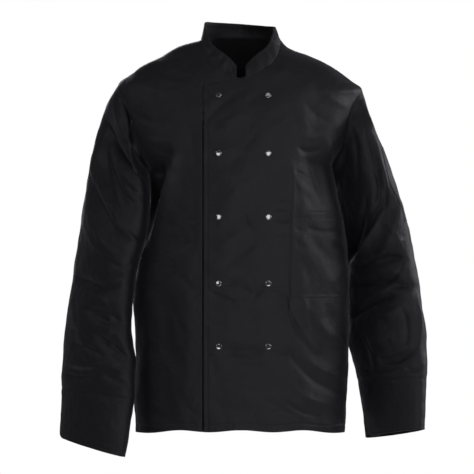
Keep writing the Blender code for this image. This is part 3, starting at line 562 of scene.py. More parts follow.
        (232, -330, 216, -372, 200, -428, 12, -15, 0),
        (246, -170, 266, -236, 278, -300, 10, 8, 0.4),
    ),
    (1, BACK): fold_rows(
        (225, -320, 260, -345, 305, -325, 18, -12, 0),
        (225, -410, 270, -425, 320, -400, 17, -12, 0),
        (230, -500, 280, -505, 335, -480, 16, -10.8, 0),
    ),
}
print("folds:", sum(len(rows) for rows in FOLDS.values()))

# %% Raise the folds
FADE_ENDS, FADE_FACING, LINE_STEPS = 0.08, (0.10, 0.55), 96
CREST, FLANK, REACH_WIDTHS = 0.20, 1.35, 3


def fold_line(x1, z1, x2, z2, x3, z3):
    """A quadratic curve that passes through the second point halfway."""
    t = np.linspace(0, 1, LINE_STEPS + 1)[:, None]
    first, second, third = np.array([x1, z1]), np.array([x2, z2]), np.array([x3, z3])
    bend = 2 * second - (first + third) / 2
    return (1 - t) ** 2 * first + 2 * t * (1 - t) * bend + t**2 * third


def relief(part, points, normals):
    """Height of the folds, on the face that looks each one's way: height x sin along the line x
    exp(-1.35 (sqrt((distance / width)^2 + 0.04) - 0.2)), which has a crisp crest and long flanks."""
    total = np.zeros(points.shape[:-1])
    flat = points[..., [0, 2]]
    for face in (FRONT, BACK):
        for *places, width, height, lean in FOLDS[part, face]:
            line = fold_line(*places)
            reach = REACH_WIDTHS * width
            near = ((flat > line.min(axis=0) - reach) & (flat < line.max(axis=0) + reach)).all(axis=-1)
            near &= normals[..., 1] * face > FADE_FACING[0]
            if not near.any():
                continue
            gap = flat[near][:, None] - line
            squared = (gap**2).sum(axis=-1)
            nearest = squared.argmin(axis=-1)
            offset = gap[np.arange(len(gap)), nearest]
            way = unit(np.gradient(line, axis=0)[nearest])
            side = way[:, 0] * offset[:, 1] - way[:, 1] * offset[:, 0]
            own_width = width * (1 + lean * np.tanh(2 * side / width))
            ends = np.sin(math.pi * (FADE_ENDS + (1 - 2 * FADE_ENDS) * nearest / LINE_STEPS))
            facing = ease(normals[near][:, 1] * face, *FADE_FACING)
            distance = np.sqrt(squared.min(axis=-1) / own_width**2 + CREST**2) - CREST
            total[near] += height * np.exp(-FLANK * distance) * ends * facing
    return total


def crumple(points, seed, count=44, low=0.011, high=0.085, height=0.00026):
    """Soft unevenness of washed cloth: a sum of sine waves whose directions and lengths are drawn once."""
    draw = np.random.default_rng(seed)
    ways = unit(draw.normal(size=(count, 3)))
    lengths = np.exp(draw.uniform(np.log(low), np.log(high), count))
    phases = draw.uniform(0, 2 * math.pi, count)
    total = np.zeros(points.shape[:-1])
    for way, length, phase in zip(ways, lengths, phases):
        total += np.sin(points @ way * 2 * math.pi / length + phase) * length / high
    return total * height


print("widest fold:", max(rows[:, 6].max() for rows in FOLDS.values()), "m")

# %% [markdown]
# ## Panels of the torso
#
# Each panel is a grid of headings and heights whose outer rows follow its own seams: the hem, the side,
# the armhole, the shoulder and the neckline. The rows and columns crowd round the lines of stitching, so
# that a groove of three millimetres has points to stand on.
#
# The over-front lies on the under-front, so it is lifted by one cloth and the air between them, and
# comes back to the form past the layer below.

# %% Rows and columns
STEP = 0.0028
HEM_BAND, EDGE_BAND = 0.0125, 0.0065  # from an edge to its line of stitching
MOUTH_BAND = 0.0145
ROWS_BREAST, ROWS_NECK = 36, 36
ARM_ROWS = ROWS_BREAST + ROWS_NECK
SIDE_STEP = 0.0030
BACK_NECK_CELLS, BACK_SHOULDER_CELLS = 30, 36
HEM_WAVE, HEM_WAVES_PER_METRE, HEM_SIDE_DROP, HEM_REACH = 0.0020, 8.3, 0.0025, 0.0900
ALLOWANCE, ALLOWANCE_DEPTH = 0.0045, 0.0004  # past a seam, and below the face there
ARMPIT_REACH, ARMPIT_FILL = (0.008, 0.032), 0.0008  # the cloth is pressed together there
ARMPIT_PLACE, ARMPIT_SHAPE = (0.1735, 0.0, 0.2430), (1, 0.7, 1)  # the same on both sides
OVER_ENDS, OVER_TOP = (0.020, 0.055), (0.008, 0.032)  # where the over-front comes back to the form
HEM_SIDES = (0.10, 0.17)
TORSO_SEED, SLEEVE_SEED, CUFF_SEED = 11, 12, 20
LEVELS = spaced([HEM, HEM + HEM_BAND, POCKET_FOOT, POCKET_FOOT + EDGE_BAND, POCKET_MOUTH - MOUTH_BAND,
                 POCKET_MOUTH, ARMPIT[-1]], STEP)


def over_lift(points):
    """How far the over-front stands off the form."""
    past_edge = ease(points[..., 0], UNDER_EDGE + OVER_ENDS[0], UNDER_EDGE + OVER_ENDS[1])
    above = ease(points[..., 2], FRONT_NECK + OVER_TOP[0], FRONT_NECK + OVER_TOP[1])
    return (WALL + LAYER) * (1 - past_edge) * (1 - above)


def hem_height(x):
    """The hem hangs in two shallow waves, a cosine across, and drops at the sides."""
    waves = np.cos(2 * math.pi * HEM_WAVES_PER_METRE * x)
    return HEM + HEM_WAVE * waves - HEM_SIDE_DROP * ease(np.abs(x), *HEM_SIDES)


def hang_hem(heading, height):
    """Lets the lowest rows follow the hem's waves."""
    x = torso_point(heading, height)[..., 0]
    low = 1 - ease(height, HEM, HEM + HEM_REACH)
    return height + (hem_height(x) - HEM) * low


def clear_of_armpit(points):
    """0 at an armpit and 1 past it. Four seams meet there, and folds or grooves would part them."""
    gap = (np.abs(points) - ARMPIT_PLACE) * ARMPIT_SHAPE
    return ease(np.linalg.norm(gap, axis=-1), *ARMPIT_REACH)


def torso_cloth(heading, height, lifted=False):
    """Outer points and normals of torso cloth, with its folds."""
    points = torso_point(heading, height)
    normals = normals_of(torso_point, heading, height)
    rise = relief(0, points, normals) + crumple(points, TORSO_SEED)
    clear = clear_of_armpit(points)
    rise = rise * clear + ARMPIT_FILL * (1 - clear)
    if lifted:
        rise = rise + over_lift(points)
    return points + rise[..., None] * normals, normals


print("rows below the armpit:", len(LEVELS))

# %% Follow the seams
def armhole(side, turn):
    """Heading and height on an armhole, an ellipse. The turn is 0 at the shoulder tip, a quarter at the
    front and half at the armpit."""
    reach = np.where(np.sin(turn) > 0, ARMHOLE_FRONT, ARMHOLE_BACK)
    heading = side * (math.pi / 2 - reach * np.sin(turn))
    middle = (SHOULDER_TIP[side] + ARMPIT[side]) / 2
    half = (SHOULDER_TIP[side] - ARMPIT[side]) / 2
    return heading, middle + half * np.cos(turn)


def seam_back(side, way, height):
    """The heading of the side and shoulder seam, kept back by half a seam. way: -1 front, 1 back."""
    width = read(TORSO, "left" if side > 0 else "right", height)
    return side * (math.pi / 2 + way * SEAM / 2 / width)


def side_boundary(side, way):
    """Heading and height of each row's outer end: up the side seam, then round the armhole."""
    low = LEVELS[:-1]
    turn = np.linspace(math.pi, 0, ARM_ROWS + 1) * (-way)
    heading, height = armhole(side, turn)
    heading[0] = seam_back(side, way, height[0])
    heading[-1] = seam_back(side, way, height[-1])
    return np.concatenate([seam_back(side, way, low), heading]), np.concatenate([low, height])


def neckline(side):
    """Heading and height of the rows' inner ends along a front's neckline."""
    share = np.linspace(0, 1, ROWS_NECK + 1)
    height = read(NECKLINE, "height", share)
    heading = front_heading(side * read(NECKLINE, "x", share), height)
    heading[-1] = seam_back(side, -1, height[-1])
    return heading, height


def front_grid(side, strip, inner):
    """Headings and heights of a front, and which cells exist. strip: x of the columns that lap past the
    middle, from the front edge. inner: x of the columns next to them. The rest spread to the side."""
    end_heading, end_height = side_boundary(side, -1)
    rows_to_neck = len(LEVELS) + ROWS_BREAST
    rise = np.interp(np.linspace(0, 1, ROWS_BREAST + 1), [0, 1 - 4 / ROWS_BREAST, 1],
                     [ARMPIT[-1], FRONT_NECK - EDGE_BAND, FRONT_NECK])[1:]
    neck_heading, neck_height = neckline(side)
    start_height = np.concatenate([LEVELS, rise, neck_height[1:]])
    start_heading = np.concatenate([front_heading(side * NECK_END, start_height[:rows_to_neck]),
                                    neck_heading[1:]])
    row = np.minimum(np.arange(len(start_height)), rows_to_neck - 1)
    fixed = front_heading(np.array(inner)[None, :], start_height[row][:, None])
    first, last = start_heading[row][:, None], end_heading[row][:, None]
    known = np.concatenate([0 * first, (fixed - first) / (last - first)], axis=1)
    across = spaced([0, 1], SIDE_STEP / 0.13)[1:][None, :]
    share = np.concatenate([known, known[:, -1:] + (1 - known[:, -1:]) * across], axis=1)
    heading = start_heading[:, None] + (end_heading - start_heading)[:, None] * share
    height = start_height[:, None] + (end_height - start_height)[:, None] * share

    strip_x = np.array(strip)[None, :]
    drop = OVERLAP_DROP * (side * NECK_END - strip_x) / (side * NECK_END - strip[0])
    grown = np.clip((start_height - ARMPIT[-1]) / (FRONT_NECK - ARMPIT[-1]), 0, 1)
    strip_height = start_height[:, None] - drop * grown[:, None]
    strip_heading = front_heading(strip_x + 0 * strip_height, strip_height)
    heading = np.concatenate([strip_heading, heading], axis=1)
    height = np.concatenate([strip_height, height], axis=1)
    keep = np.ones((len(start_height) - 1, heading.shape[1] - 1), dtype=bool)
    keep[rows_to_neck - 1:, : len(strip) - 1] = False
    return heading, height, keep


def tuck_neck(points, normals, column, past):
    """A seam allowance up into the collar: above the middle, the column before the neckline's own moves
    on past it and sinks below the face."""
    first = len(LEVELS) + ROWS_BREAST
    edge, inner = points[first:, column], points[first:, column + past]
    tucked = edge + ALLOWANCE * unit(edge - inner) - ALLOWANCE_DEPTH * normals[first:, column]
    points[first:, column - past] = tucked


def back_grid(side):
    """Headings and heights of half the back, from the middle to the side."""
    end_heading, end_height = side_boundary(side, 1)
    rise = np.linspace(ARMPIT[-1], BACK_NECK, ARM_ROWS + 1)[1:]
    start_height = np.concatenate([LEVELS, rise])
    share = np.linspace(0, 1, BACK_NECK_CELLS + BACK_SHOULDER_CELLS + 1)
    middle = side * math.pi
    heading = middle + (end_heading - middle)[:, None] * share
    height = start_height[:, None] + (end_height - start_height)[:, None] * share
    neck = np.linspace(0, 1, BACK_NECK_CELLS + 1)
    down = np.linspace(0, 1, BACK_SHOULDER_CELLS + 1)[1:]
    top_height = np.concatenate([BACK_NECK + (SIDE_NECK - BACK_NECK) * neck**2,
                                 SIDE_NECK + (SHOULDER_TIP[side] - SIDE_NECK) * down])
    top_heading = np.concatenate([middle + (seam_back(side, 1, SIDE_NECK) - middle) * neck,
                                  seam_back(side, 1, top_height[BACK_NECK_CELLS + 1:])])
    rows = np.linspace(-len(LEVELS) / ARM_ROWS, 1, len(start_height))
    bend = ease(rows, 0, 1)[:, None] ** 1.5
    return heading + (top_heading - heading[-1]) * bend, height + (top_height - height[-1]) * bend


print("rows on a front:", len(LEVELS) + ARM_ROWS)

# %% [markdown]
# ## Make cloth from a grid
#
# The grid becomes a mesh of four-sided faces, with a UV map in real metres for the weave to follow.
# Solidify gives the wall inwards, so the outer face stays on the form, and a small bevel rounds the cut
# edges.

# %% Build a piece of cloth
PIECES = {}
EDGE_ROUND, CUT_EDGE = 0.3, math.radians(60)  # share of the wall, and the angle of a cut edge
# Depth and width of the grooves along seams and lines of stitching.
SEAM_GROOVE, SHOULDER_GROOVE, CUFF_SEAM_GROOVE = (0.0006, 0.0030), (0.0008, 0.0026), (0.0006, 0.0024)
INNER_SEAM_GROOVE, EDGE_GROOVE, BAND_GROOVE = (0.0007, 0.0020), (0.0005, 0.0018), (0.0004, 0.0016)
PATCH_GROOVE, MOUTH_GROOVE, PEN_GROOVE = (0.0002, 0.0016), (0.0002, 0.0018), (0.0004, 0.0015)


def cloth(name, node, points, normals, wall=WALL, keep=None, closed_rows=0):
    """A piece from a grid of outer points that takes the place of a node. Closed rows run into their
    own first column."""
    rows, columns = points.shape[:2]
    plain = np.arange(rows * columns).reshape(rows, columns)
    ids = plain.copy()
    ids[:closed_rows, -1] = ids[:closed_rows, 0]
    keep = np.ones((rows - 1, columns - 1), dtype=bool) if keep is None else keep

    def corners(grid):
        return np.stack([grid[:-1, :-1], grid[:-1, 1:], grid[1:, 1:], grid[1:, :-1]], axis=-1)[keep]

    quads, places = corners(ids), corners(plain)
    where = points.reshape(-1, 3)
    first, second, third, fourth = (where[places[:, k]] for k in range(4))
    facing = np.cross(third - first, fourth - second)
    if (facing * normals.reshape(-1, 3)[places[:, 0]]).sum() < 0:
        quads, places = quads[:, ::-1], places[:, ::-1]
    used, quads = np.unique(quads, return_inverse=True)
    quads = quads.reshape(-1, 4)
    made = add_mesh(name, where[used], quads.tolist())
    across = np.linalg.norm(np.diff(points, axis=1), axis=-1).mean(axis=0)
    along = np.linalg.norm(np.diff(points, axis=0), axis=-1).mean(axis=1)
    u = np.concatenate([[0], np.cumsum(across)])[None, :] + np.zeros((rows, 1))
    v = np.concatenate([[0], np.cumsum(along)])[:, None] + np.zeros((1, columns))
    flat = np.stack([u, v], axis=-1).reshape(-1, 2)
    layer = made.data.uv_layers.new(name="cloth")
    layer.data.foreach_set("uv", flat[places].astype(np.float32).ravel())
    made.data.shade_smooth()
    solid = made.modifiers.new("wall", "SOLIDIFY")
    solid.thickness, solid.offset = wall, -1.0
    rounding = made.modifiers.new("edges", "BEVEL")
    rounding.width, rounding.segments, rounding.limit_method = wall * EDGE_ROUND, 2, "ANGLE"
    rounding.angle_limit = CUT_EDGE
    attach(made, "root")
    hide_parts(node)
    area = np.linalg.norm(facing, axis=-1).sum() / 2
    PIECES[name] = (made, area)
    print(name, len(quads), "faces,", round(area, 4), "m2")
    return made


def groove(distance, depth=0.0007, width=0.0022):
    """A seam draws the cloth in: -depth x exp(-(distance / width)^2)."""
    return -depth * np.exp(-((distance / width) ** 2))


def pucker(along, distance, seed, length=0.011, height=0.00035, reach=0.007):
    """Small gathers beside a seam: two sine waves along it that die away from it."""
    first, second = np.random.default_rng(seed).uniform(0, 2 * math.pi, 2)
    turns = 2 * math.pi * along / length
    waves = np.sin(turns + first) + 0.7 * np.sin(turns / 0.61 + second)
    return height * waves * np.exp(-np.abs(distance) / reach)


# %% Cut the two fronts
def far(points, column=-1):
    """Distance of each point from the end of its own row."""
    ends = points[:, column][:, None]
    return np.linalg.norm(points - ends, axis=-1)


def overlap_top(x):
    """Height of the overlap's top edge at this x."""
    return FRONT_NECK - OVERLAP_DROP * np.clip((NECK_END - x) / (NECK_END - OVER_EDGE), 0, 1)


LAP_LINE, LAP_GROOVE = 0.0007, (0.0042, 0.0016)  # the cloth below dips just past the overlap's edge
LAP_FADE, TOP_FADE = (-0.001, 0.003), (-0.012, 0.0)
inner_right = spaced([-NECK_END, -0.0400, OVER_EDGE], STEP)[1:]
strip_right = spaced([UNDER_EDGE, UNDER_EDGE - EDGE_BAND, NECK_END], STEP)
heading, height, keep = front_grid(-1, strip_right, inner_right)
heading, height, keep = heading[:, ::-1], height[:, ::-1], keep[:, ::-1]
height = hang_hem(heading, height)
points, under_normals = torso_cloth(heading, height)
hem = points[..., 2] - (hem_height(points[..., 0]) + HEM_BAND)
rise = groove(hem) + pucker(points[..., 0], hem, 6) + groove(far(points, 0), *SEAM_GROOVE)
beside, above = OVER_EDGE - points[..., 0], points[..., 2] - overlap_top(points[..., 0])
rise += groove(beside - LAP_LINE, *LAP_GROOVE) * (1 - ease(above, *LAP_FADE))
along_top = (1 - ease(beside, *LAP_FADE)) * ease(-points[..., 0], *TOP_FADE)
rise += groove(above - LAP_LINE, *LAP_GROOVE) * along_top
under = points + (rise * clear_of_armpit(points))[..., None] * under_normals
tuck_neck(under, under_normals, -1 - len(strip_right), -1)
cloth("front_under_cloth", "front_under", under, under_normals, keep=keep)

strip_left = spaced([OVER_EDGE, OVER_EDGE + EDGE_BAND, -NECK_END], STEP)
inner_left = spaced([NECK_END, UNDER_EDGE, UNDER_EDGE + EDGE_BAND], STEP)[1:]
heading, height, over_keep = front_grid(1, strip_left, inner_left)
over_heading, over_height = heading, hang_hem(heading, height)
points, over_normals = torso_cloth(over_heading, over_height, lifted=True)
x, z = points[..., 0], points[..., 2]
hem = z - (hem_height(x) + HEM_BAND)
edge = x - (OVER_EDGE + EDGE_BAND)
top = overlap_top(x) - EDGE_BAND - z
rise = groove(hem) + pucker(x, hem, 8)
rise += groove(far(points), *SEAM_GROOVE)
rise += groove(edge, *EDGE_GROOVE) + pucker(z, edge, 9, length=0.021, height=0.0002, reach=0.006)
rise += groove(top, *EDGE_GROOVE) * ease(-x, -0.02, 0.0)
over = points + (rise * clear_of_armpit(points))[..., None] * over_normals
tuck_neck(over, over_normals, len(strip_left), 1)
cloth("front_over_cloth", "front_over", over, over_normals, keep=over_keep)

# %% Cut the back
right, left = back_grid(-1), back_grid(1)
heading = np.concatenate([right[0][:, ::-1] + 2 * math.pi, left[0][:, 1:]], axis=1)
height = np.concatenate([right[1][:, ::-1], left[1][:, 1:]], axis=1)
height = hang_hem(heading, height)
points, back_normals = torso_cloth(heading, height)
hem = points[..., 2] - (hem_height(points[..., 0]) + HEM_BAND)
sides = np.minimum(far(points), far(points, 0))
shoulder = np.linalg.norm(points - points[-1:], axis=-1) + 0.1 * (points[-1:, :, 2] > SIDE_NECK - 0.001)
rise = groove(hem) + pucker(points[..., 0], hem, 7) + groove(sides, *SEAM_GROOVE)
rise += groove(shoulder, *SHOULDER_GROOVE)
back = points + (rise * clear_of_armpit(points))[..., None] * back_normals
tucked = back[-1:] + ALLOWANCE * unit(back[-1:] - back[-2:-1]) - ALLOWANCE_DEPTH * back_normals[-1:]
tucked_normals = np.concatenate([back_normals, back_normals[-1:]])
cloth("back_cloth", "back", np.concatenate([back, tucked]), tucked_normals)

# %% [markdown]
# ## The collar
#
# The stand collar is one doubled band sewn to the neckline. It is a ruled surface: each point of the
# neckline is joined to a point of the top edge, with a slight swell between, and a few waves where the
# band is eased round the front of the neck.

# %% Stand the collar up
COLLAR_SHIFT, COLLAR_TILT = -0.0019, -0.070
COLLAR_ROWS, COLLAR_SWELL, COLLAR_WAVE = 14, 0.0015, 0.0010
COLLAR_WAVES = ((0.031, 2.4, 0.0, 1.0), (0.0173, -1.9, 2.0, 0.6))  # length, slant, start, share
COLLAR_TALL, COLLAR_LINE = 0.031, 0.0255  # its height, and the height of its line of stitching


def collar_foot():
    """Neckline points from the wearer's right front end round the back to the left."""
    round_back = np.linspace(0, 1, BACK_NECK_CELLS + 1)[1:]
    halves = []
    for side in (-1, 1):
        heading, height = neckline(side)
        heading[-1] = side * math.pi / 2
        back_heading = side * math.pi * (0.5 + 0.5 * round_back)
        back_height = BACK_NECK + (SIDE_NECK - BACK_NECK) * (1 - round_back) ** 2
        halves.append((np.concatenate([heading, back_heading]), np.concatenate([height, back_height])))
    heading = np.concatenate([halves[0][0], halves[1][0][-2::-1]])
    height = np.concatenate([halves[0][1], halves[1][1][-2::-1]])
    points = torso_point(heading, height)
    normals = normals_of(torso_point, heading, height)
    return points + over_lift(points)[:, None] * normals * (points[:, :1] > 0)


foot = collar_foot()
number = np.arange(len(foot))
half = len(foot) // 2
share = 1 - np.abs(number / half - 1)
side = np.where(number < half, -1, 1)
top_x = side * read(COLLAR_TOP, "x", share) + COLLAR_SHIFT * ease(share, 0.2, 0.6)
top_height = read(COLLAR_TOP, "height", share) + COLLAR_TILT * top_x * ease(share, 0.45, 0.75)
top = np.stack([top_x, read(COLLAR_TOP, "y", share), top_height], axis=-1)
rise = np.linspace(0, 1, COLLAR_ROWS + 1)[:, None, None]
span = top - foot
lift_off = BAND_SEAM / np.linalg.norm(span, axis=-1, keepdims=True)
collar = foot + span * (lift_off + (1 - lift_off) * rise)
collar_normal = unit(np.cross(np.gradient(foot, axis=0), span))
collar_normal *= np.sign((collar_normal * foot).sum(axis=-1, keepdims=True).mean())
collar_normals = np.broadcast_to(collar_normal, collar.shape)
swell = COLLAR_SWELL * np.sin(math.pi * rise[..., 0])
length = running(foot)
front_ease = 1 - ease(share, 0.35, 0.60)
waves = sum(part * np.sin(2 * math.pi * length / wave + slant * rise[..., 0] + start)
            for wave, slant, start, part in COLLAR_WAVES)
swell = swell + COLLAR_WAVE * waves * front_ease * np.sin(math.pi * rise[..., 0]) ** 0.7
swell = swell + groove(rise[..., 0] * COLLAR_TALL - COLLAR_LINE, *BAND_GROOVE)
collar = collar + swell[..., None] * collar_normal
cloth("collar_cloth", "collar", collar, collar_normals, BAND_WALL)

# %% [markdown]
# ## Sleeves
#
# A sleeve starts as the armhole and turns into plain rings within three rows of its table. Each ring is
# an ellipse between the outer and the inner side as they are seen from the front. The bent elbow is in
# the table, and the cloth breaks into troughs at the inside of it.

# %% The sleeves' rings
SLEEVES = {
    -1: table(
        "ring outer_x outer_z inner_x inner_z depth middle",
        (0, 0.2337, -0.0817, 0.1730, -0.2450, 0.056, 0.004),
        (1, 0.2527, -0.1159, 0.1725, -0.2640, 0.062, 0.003),
        (2, 0.2700, -0.1577, 0.1715, -0.2860, 0.066, 0.002),
        (3, 0.2822, -0.2014, 0.1720, -0.3116, 0.068, 0.000),
        (4, 0.2907, -0.2489, 0.1745, -0.3420, 0.069, -0.002),
        (5, 0.2983, -0.2964, 0.1815, -0.3762, 0.069, -0.004),
        (6, 0.3050, -0.3420, 0.1905, -0.4085, 0.067, -0.005),
        (7, 0.3126, -0.3876, 0.1985, -0.4408, 0.065, -0.006),
        (8, 0.3192, -0.4332, 0.2028, -0.4731, 0.063, -0.008),
        (9, 0.3259, -0.4769, 0.2048, -0.5016, 0.061, -0.011),
        (10, 0.3316, -0.5187, 0.2060, -0.5320, 0.059, -0.015),
        (11, 0.3363, -0.5605, 0.2050, -0.5681, 0.056, -0.019),
        (12, 0.3395, -0.6042, 0.1985, -0.6080, 0.052, -0.023),
        (13, 0.3416, -0.6555, 0.2000, -0.6764, 0.047, -0.027),
    ),
    1: table(
        "ring outer_x outer_z inner_x inner_z depth middle",
        (0, 0.2291, -0.0887, 0.1725, -0.2350, 0.056, 0.004),
        (1, 0.2385, -0.1235, 0.1762, -0.2584, 0.062, 0.006),
        (2, 0.2527, -0.1615, 0.1795, -0.2803, 0.066, 0.008),
        (3, 0.2689, -0.2014, 0.1835, -0.3040, 0.068, 0.010),
        (4, 0.2850, -0.2451, 0.1885, -0.3325, 0.069, 0.012),
        (5, 0.3012, -0.2964, 0.1940, -0.3667, 0.069, 0.014),
        (6, 0.3154, -0.3439, 0.1985, -0.4009, 0.067, 0.015),
        (7, 0.3262, -0.3933, 0.2010, -0.4370, 0.065, 0.015),
        (8, 0.3348, -0.4389, 0.2025, -0.4712, 0.063, 0.013),
        (9, 0.3420, -0.4845, 0.2030, -0.5054, 0.061, 0.010),
        (10, 0.3477, -0.5282, 0.2035, -0.5396, 0.059, 0.006),
        (11, 0.3515, -0.5700, 0.2055, -0.5719, 0.056, 0.001),
        (12, 0.3528, -0.6042, 0.2125, -0.6061, 0.052, -0.004),
        (13, 0.3525, -0.6346, 0.2214, -0.6422, 0.047, -0.009),
    ),
}
SLEEVE_SLANT = {-1: -0.050, 1: 0.044}
FROM_ARMHOLE = (0.93, 0.0, -0.36)
ROUND = 180
SLEEVE_ROWS = 214
TURN_DEPTH = 0.0021  # how far the sleeve's edge turns in before it runs under the panel
print("sleeve rings:", len(SLEEVES[1]["ring"]))


# %% Work out a sleeve
def sleeve_ellipse(side, turn, ring):
    """A sleeve's plain ring: its middle, half its width times cos turn, and its depth times sin turn."""
    rows = SLEEVES[side]
    outer = np.stack([read(rows, "outer_x", ring), read(rows, "outer_z", ring)], axis=-1)
    inner = np.stack([read(rows, "inner_x", ring), read(rows, "inner_z", ring)], axis=-1)
    across = (outer + inner) / 2 + (outer - inner) / 2 * np.cos(turn)[..., None]
    slant = SLEEVE_SLANT[side] * ease(ring, 0, 2) * np.cos(turn)
    y = read(rows, "middle", ring) - slant - read(rows, "depth", ring) * np.sin(turn)
    return np.stack([side * across[..., 0], y, across[..., 1]], axis=-1)


def sleeve_point(side, turn, ring):
    """The armhole at ring 0, which fades into the plain rings by the third."""
    start = torso_point(*armhole(side, turn)) - sleeve_ellipse(side, turn, 0 * ring)
    return sleeve_ellipse(side, turn, ring) + start * (1 - ease(ring, 0, 3))[..., None]


def sleeve_cloth(side, turn, ring):
    """Outer points and normals of a sleeve, with its folds, which end at the armhole and the cuff."""
    def form(u, v):
        return sleeve_point(side, u, v)

    points = form(turn, ring)
    normals = normals_of(form, turn, ring)
    outwards = points - points.mean(axis=1, keepdims=True)
    normals = normals * np.sign(np.sum(normals * outwards, axis=-1, keepdims=True).mean())
    last = SLEEVES[side]["ring"][-1]
    between = ease(ring, 0, 0.3) * (1 - ease(ring, last - 0.4, last))
    clear = clear_of_armpit(points)
    rise = (relief(side, points, normals) + crumple(points, SLEEVE_SEED + side)) * between * clear
    rise += ARMPIT_FILL * (1 - clear) * ease(ring, 0, 0.1)
    return points + rise[..., None] * normals, normals


def make_sleeve(side, name):
    """A sleeve, a seam's width off its armhole, drawn in along both of its seams."""
    last = SLEEVES[side]["ring"][-1]
    ring = (spaced([0, 0.5, 1], 1 / SLEEVE_ROWS, 0.6) * last)[:, None]
    turn = np.linspace(0, 2 * math.pi, ROUND + 1)[None, :]
    turn, ring = turn + 0 * ring, ring + 0 * turn
    outer, normals = sleeve_cloth(side, turn, ring)
    from_start = np.linalg.norm(outer - outer[:1], axis=-1)
    from_end = np.linalg.norm(outer - outer[-1:], axis=-1)
    inner_seam = np.linalg.norm(outer - outer[:, ROUND // 2][:, None], axis=-1)
    rise = groove(from_start, *SEAM_GROOVE) + groove(from_end, *CUFF_SEAM_GROOVE)
    rise += groove(inner_seam, *INNER_SEAM_GROOVE)
    outer = outer + (rise * clear_of_armpit(outer))[..., None] * normals
    outer[:, -1], normals[:, -1] = outer[:, 0], normals[:, 0]
    away = np.array(FROM_ARMHOLE) * (side, 1, 1)
    outer[0] += SLEEVE_SEAM * away
    panel = normals_of(torso_point, *armhole(side, turn[0]))
    leaning = np.clip((normals[0] - panel) @ away, 0, None)
    normals[0] -= leaning[:, None] * away
    turned_in = outer[:1] - TURN_DEPTH * panel + 0.0002 * away
    under_panel = outer[:1] - (TURN_DEPTH + 0.0004) * panel - ALLOWANCE * away
    cloth(name + "_cloth", name, np.concatenate([under_panel, turned_in, outer]),
          np.concatenate([normals[:1], normals[:1], normals]), closed_rows=len(outer) + 2)
    return outer, normals, turn, ring


sleeve_right = make_sleeve(-1, "sleeve_right")
sleeve_left = make_sleeve(1, "sleeve_left")

# %% [markdown]
# ## Cuffs
#
# A cuff is a doubled band, wider than the sleeve and open along a slit with rounded corners. Near the
# slit the lower edge rises by r - sqrt(r^2 - d^2), a quarter of a circle.

# %% Sew on the cuffs
CUFFS = {
    -1: dict(outer=(0.3449, -0.7500), inner=(0.2185, -0.7858), middle=-0.036, dip=0.003, slit=0),
    1: dict(outer=(0.3471, -0.7345), inner=(0.2375, -0.7520), middle=-0.020, dip=-0.004, slit=165),
}
CUFF_DEPTH, CUFF_ROWS = 0.043, 36
SLIT_FROM, SLIT_WIDTH, SLIT_REACH, CORNER = 0.5, 0.0030, 0.012, 0.0240
CUFF_TOP_LINE, CUFF_FOOT_LINE = 0.0040, 0.0055  # from its edges to its lines of stitching


def make_cuff(side, name, sleeve):
    """A ruled band from the sleeve's last ring to its own lower ring, parted along the slit."""
    size = CUFFS[side]
    start = round(size["slit"] * ROUND / 360)
    turn = (np.linspace(0, 2 * math.pi, ROUND + 1) + math.radians(size["slit"]))[None, :]
    top = np.roll(sleeve[-1, :-1], -start, axis=0)
    top = np.concatenate([top, top[:1]])[None]
    outer, inner = np.array(size["outer"]), np.array(size["inner"])
    across = (outer + inner) / 2 + (outer - inner) / 2 * np.cos(turn)[..., None]
    y = size["middle"] - SLEEVE_SLANT[side] * np.cos(turn) - CUFF_DEPTH * np.sin(turn)
    foot = np.stack([side * across[..., 0], y, across[..., 1] - size["dip"] * np.sin(turn)], axis=-1)
    span = foot - top
    tall = np.linalg.norm(span, axis=-1, keepdims=True)
    rim = running(foot[0])
    from_slit = np.minimum(rim, rim[-1] - rim)
    lift = CORNER - np.sqrt(CORNER**2 - np.clip(CORNER - from_slit, 0, CORNER * 0.98) ** 2)
    down = spaced([0, 0.06, 0.94, 1], 1 / CUFF_ROWS, 0.5)[:, None, None]
    seam = BAND_SEAM / tall
    shorter = 1 - lift[None, :, None] / tall
    band = top + span * (seam + (shorter - seam) * down)
    along = np.gradient(band, axis=1)
    along[:, 0] = along[:, -1] = band[:, 1] - band[:, -2]
    normal = unit(np.cross(along, span))
    normal *= np.sign((normal * (band - band.mean(axis=1, keepdims=True))).sum(axis=-1).mean())
    step = unit(along[:, 0])
    opening = SLIT_WIDTH * ease(down[:, 0, 0], SLIT_FROM, 1)[:, None]
    fade = np.exp(-from_slit / SLIT_REACH)[None, :, None]
    way = np.where(np.arange(ROUND + 1) < ROUND / 2, 1, -1)[None, :, None]
    band = band + (step * opening)[:, None] * fade * way
    closed = int((down[:, 0, 0] <= SLIT_FROM).sum())
    band[:closed, -1] = band[:closed, 0]
    normal[:closed, -1] = normal[:closed, 0]
    from_top = np.linalg.norm(band - band[:1], axis=-1)
    from_foot = np.linalg.norm(band - band[-1:], axis=-1)
    rise = groove(from_top - CUFF_TOP_LINE, *BAND_GROOVE) + groove(from_foot - CUFF_FOOT_LINE, *BAND_GROOVE)
    rise += crumple(band, CUFF_SEED + side, height=0.0002) * ease(from_top, 0, 0.01)
    band = band + rise[..., None] * normal
    cloth(name + "_cloth", name, band, normal, BAND_WALL, closed_rows=closed)
    return band, normal


cuff_right = make_cuff(-1, "cuff_right", sleeve_right[0])
cuff_left = make_cuff(1, "cuff_left", sleeve_left[0])

# %% [markdown]
# ## Pockets
#
# A pocket is a patch of the same cloth, cut from the very points it lies on and moved out by one wall
# and a little air. So it follows every fold below it.

# %% Sew on the pockets
PATCH_WALL, PATCH_AIR = 0.0007, 0.0002


def nearest(values, target):
    """Index of the value nearest to the target."""
    return int(np.argmin(np.abs(values - target)))


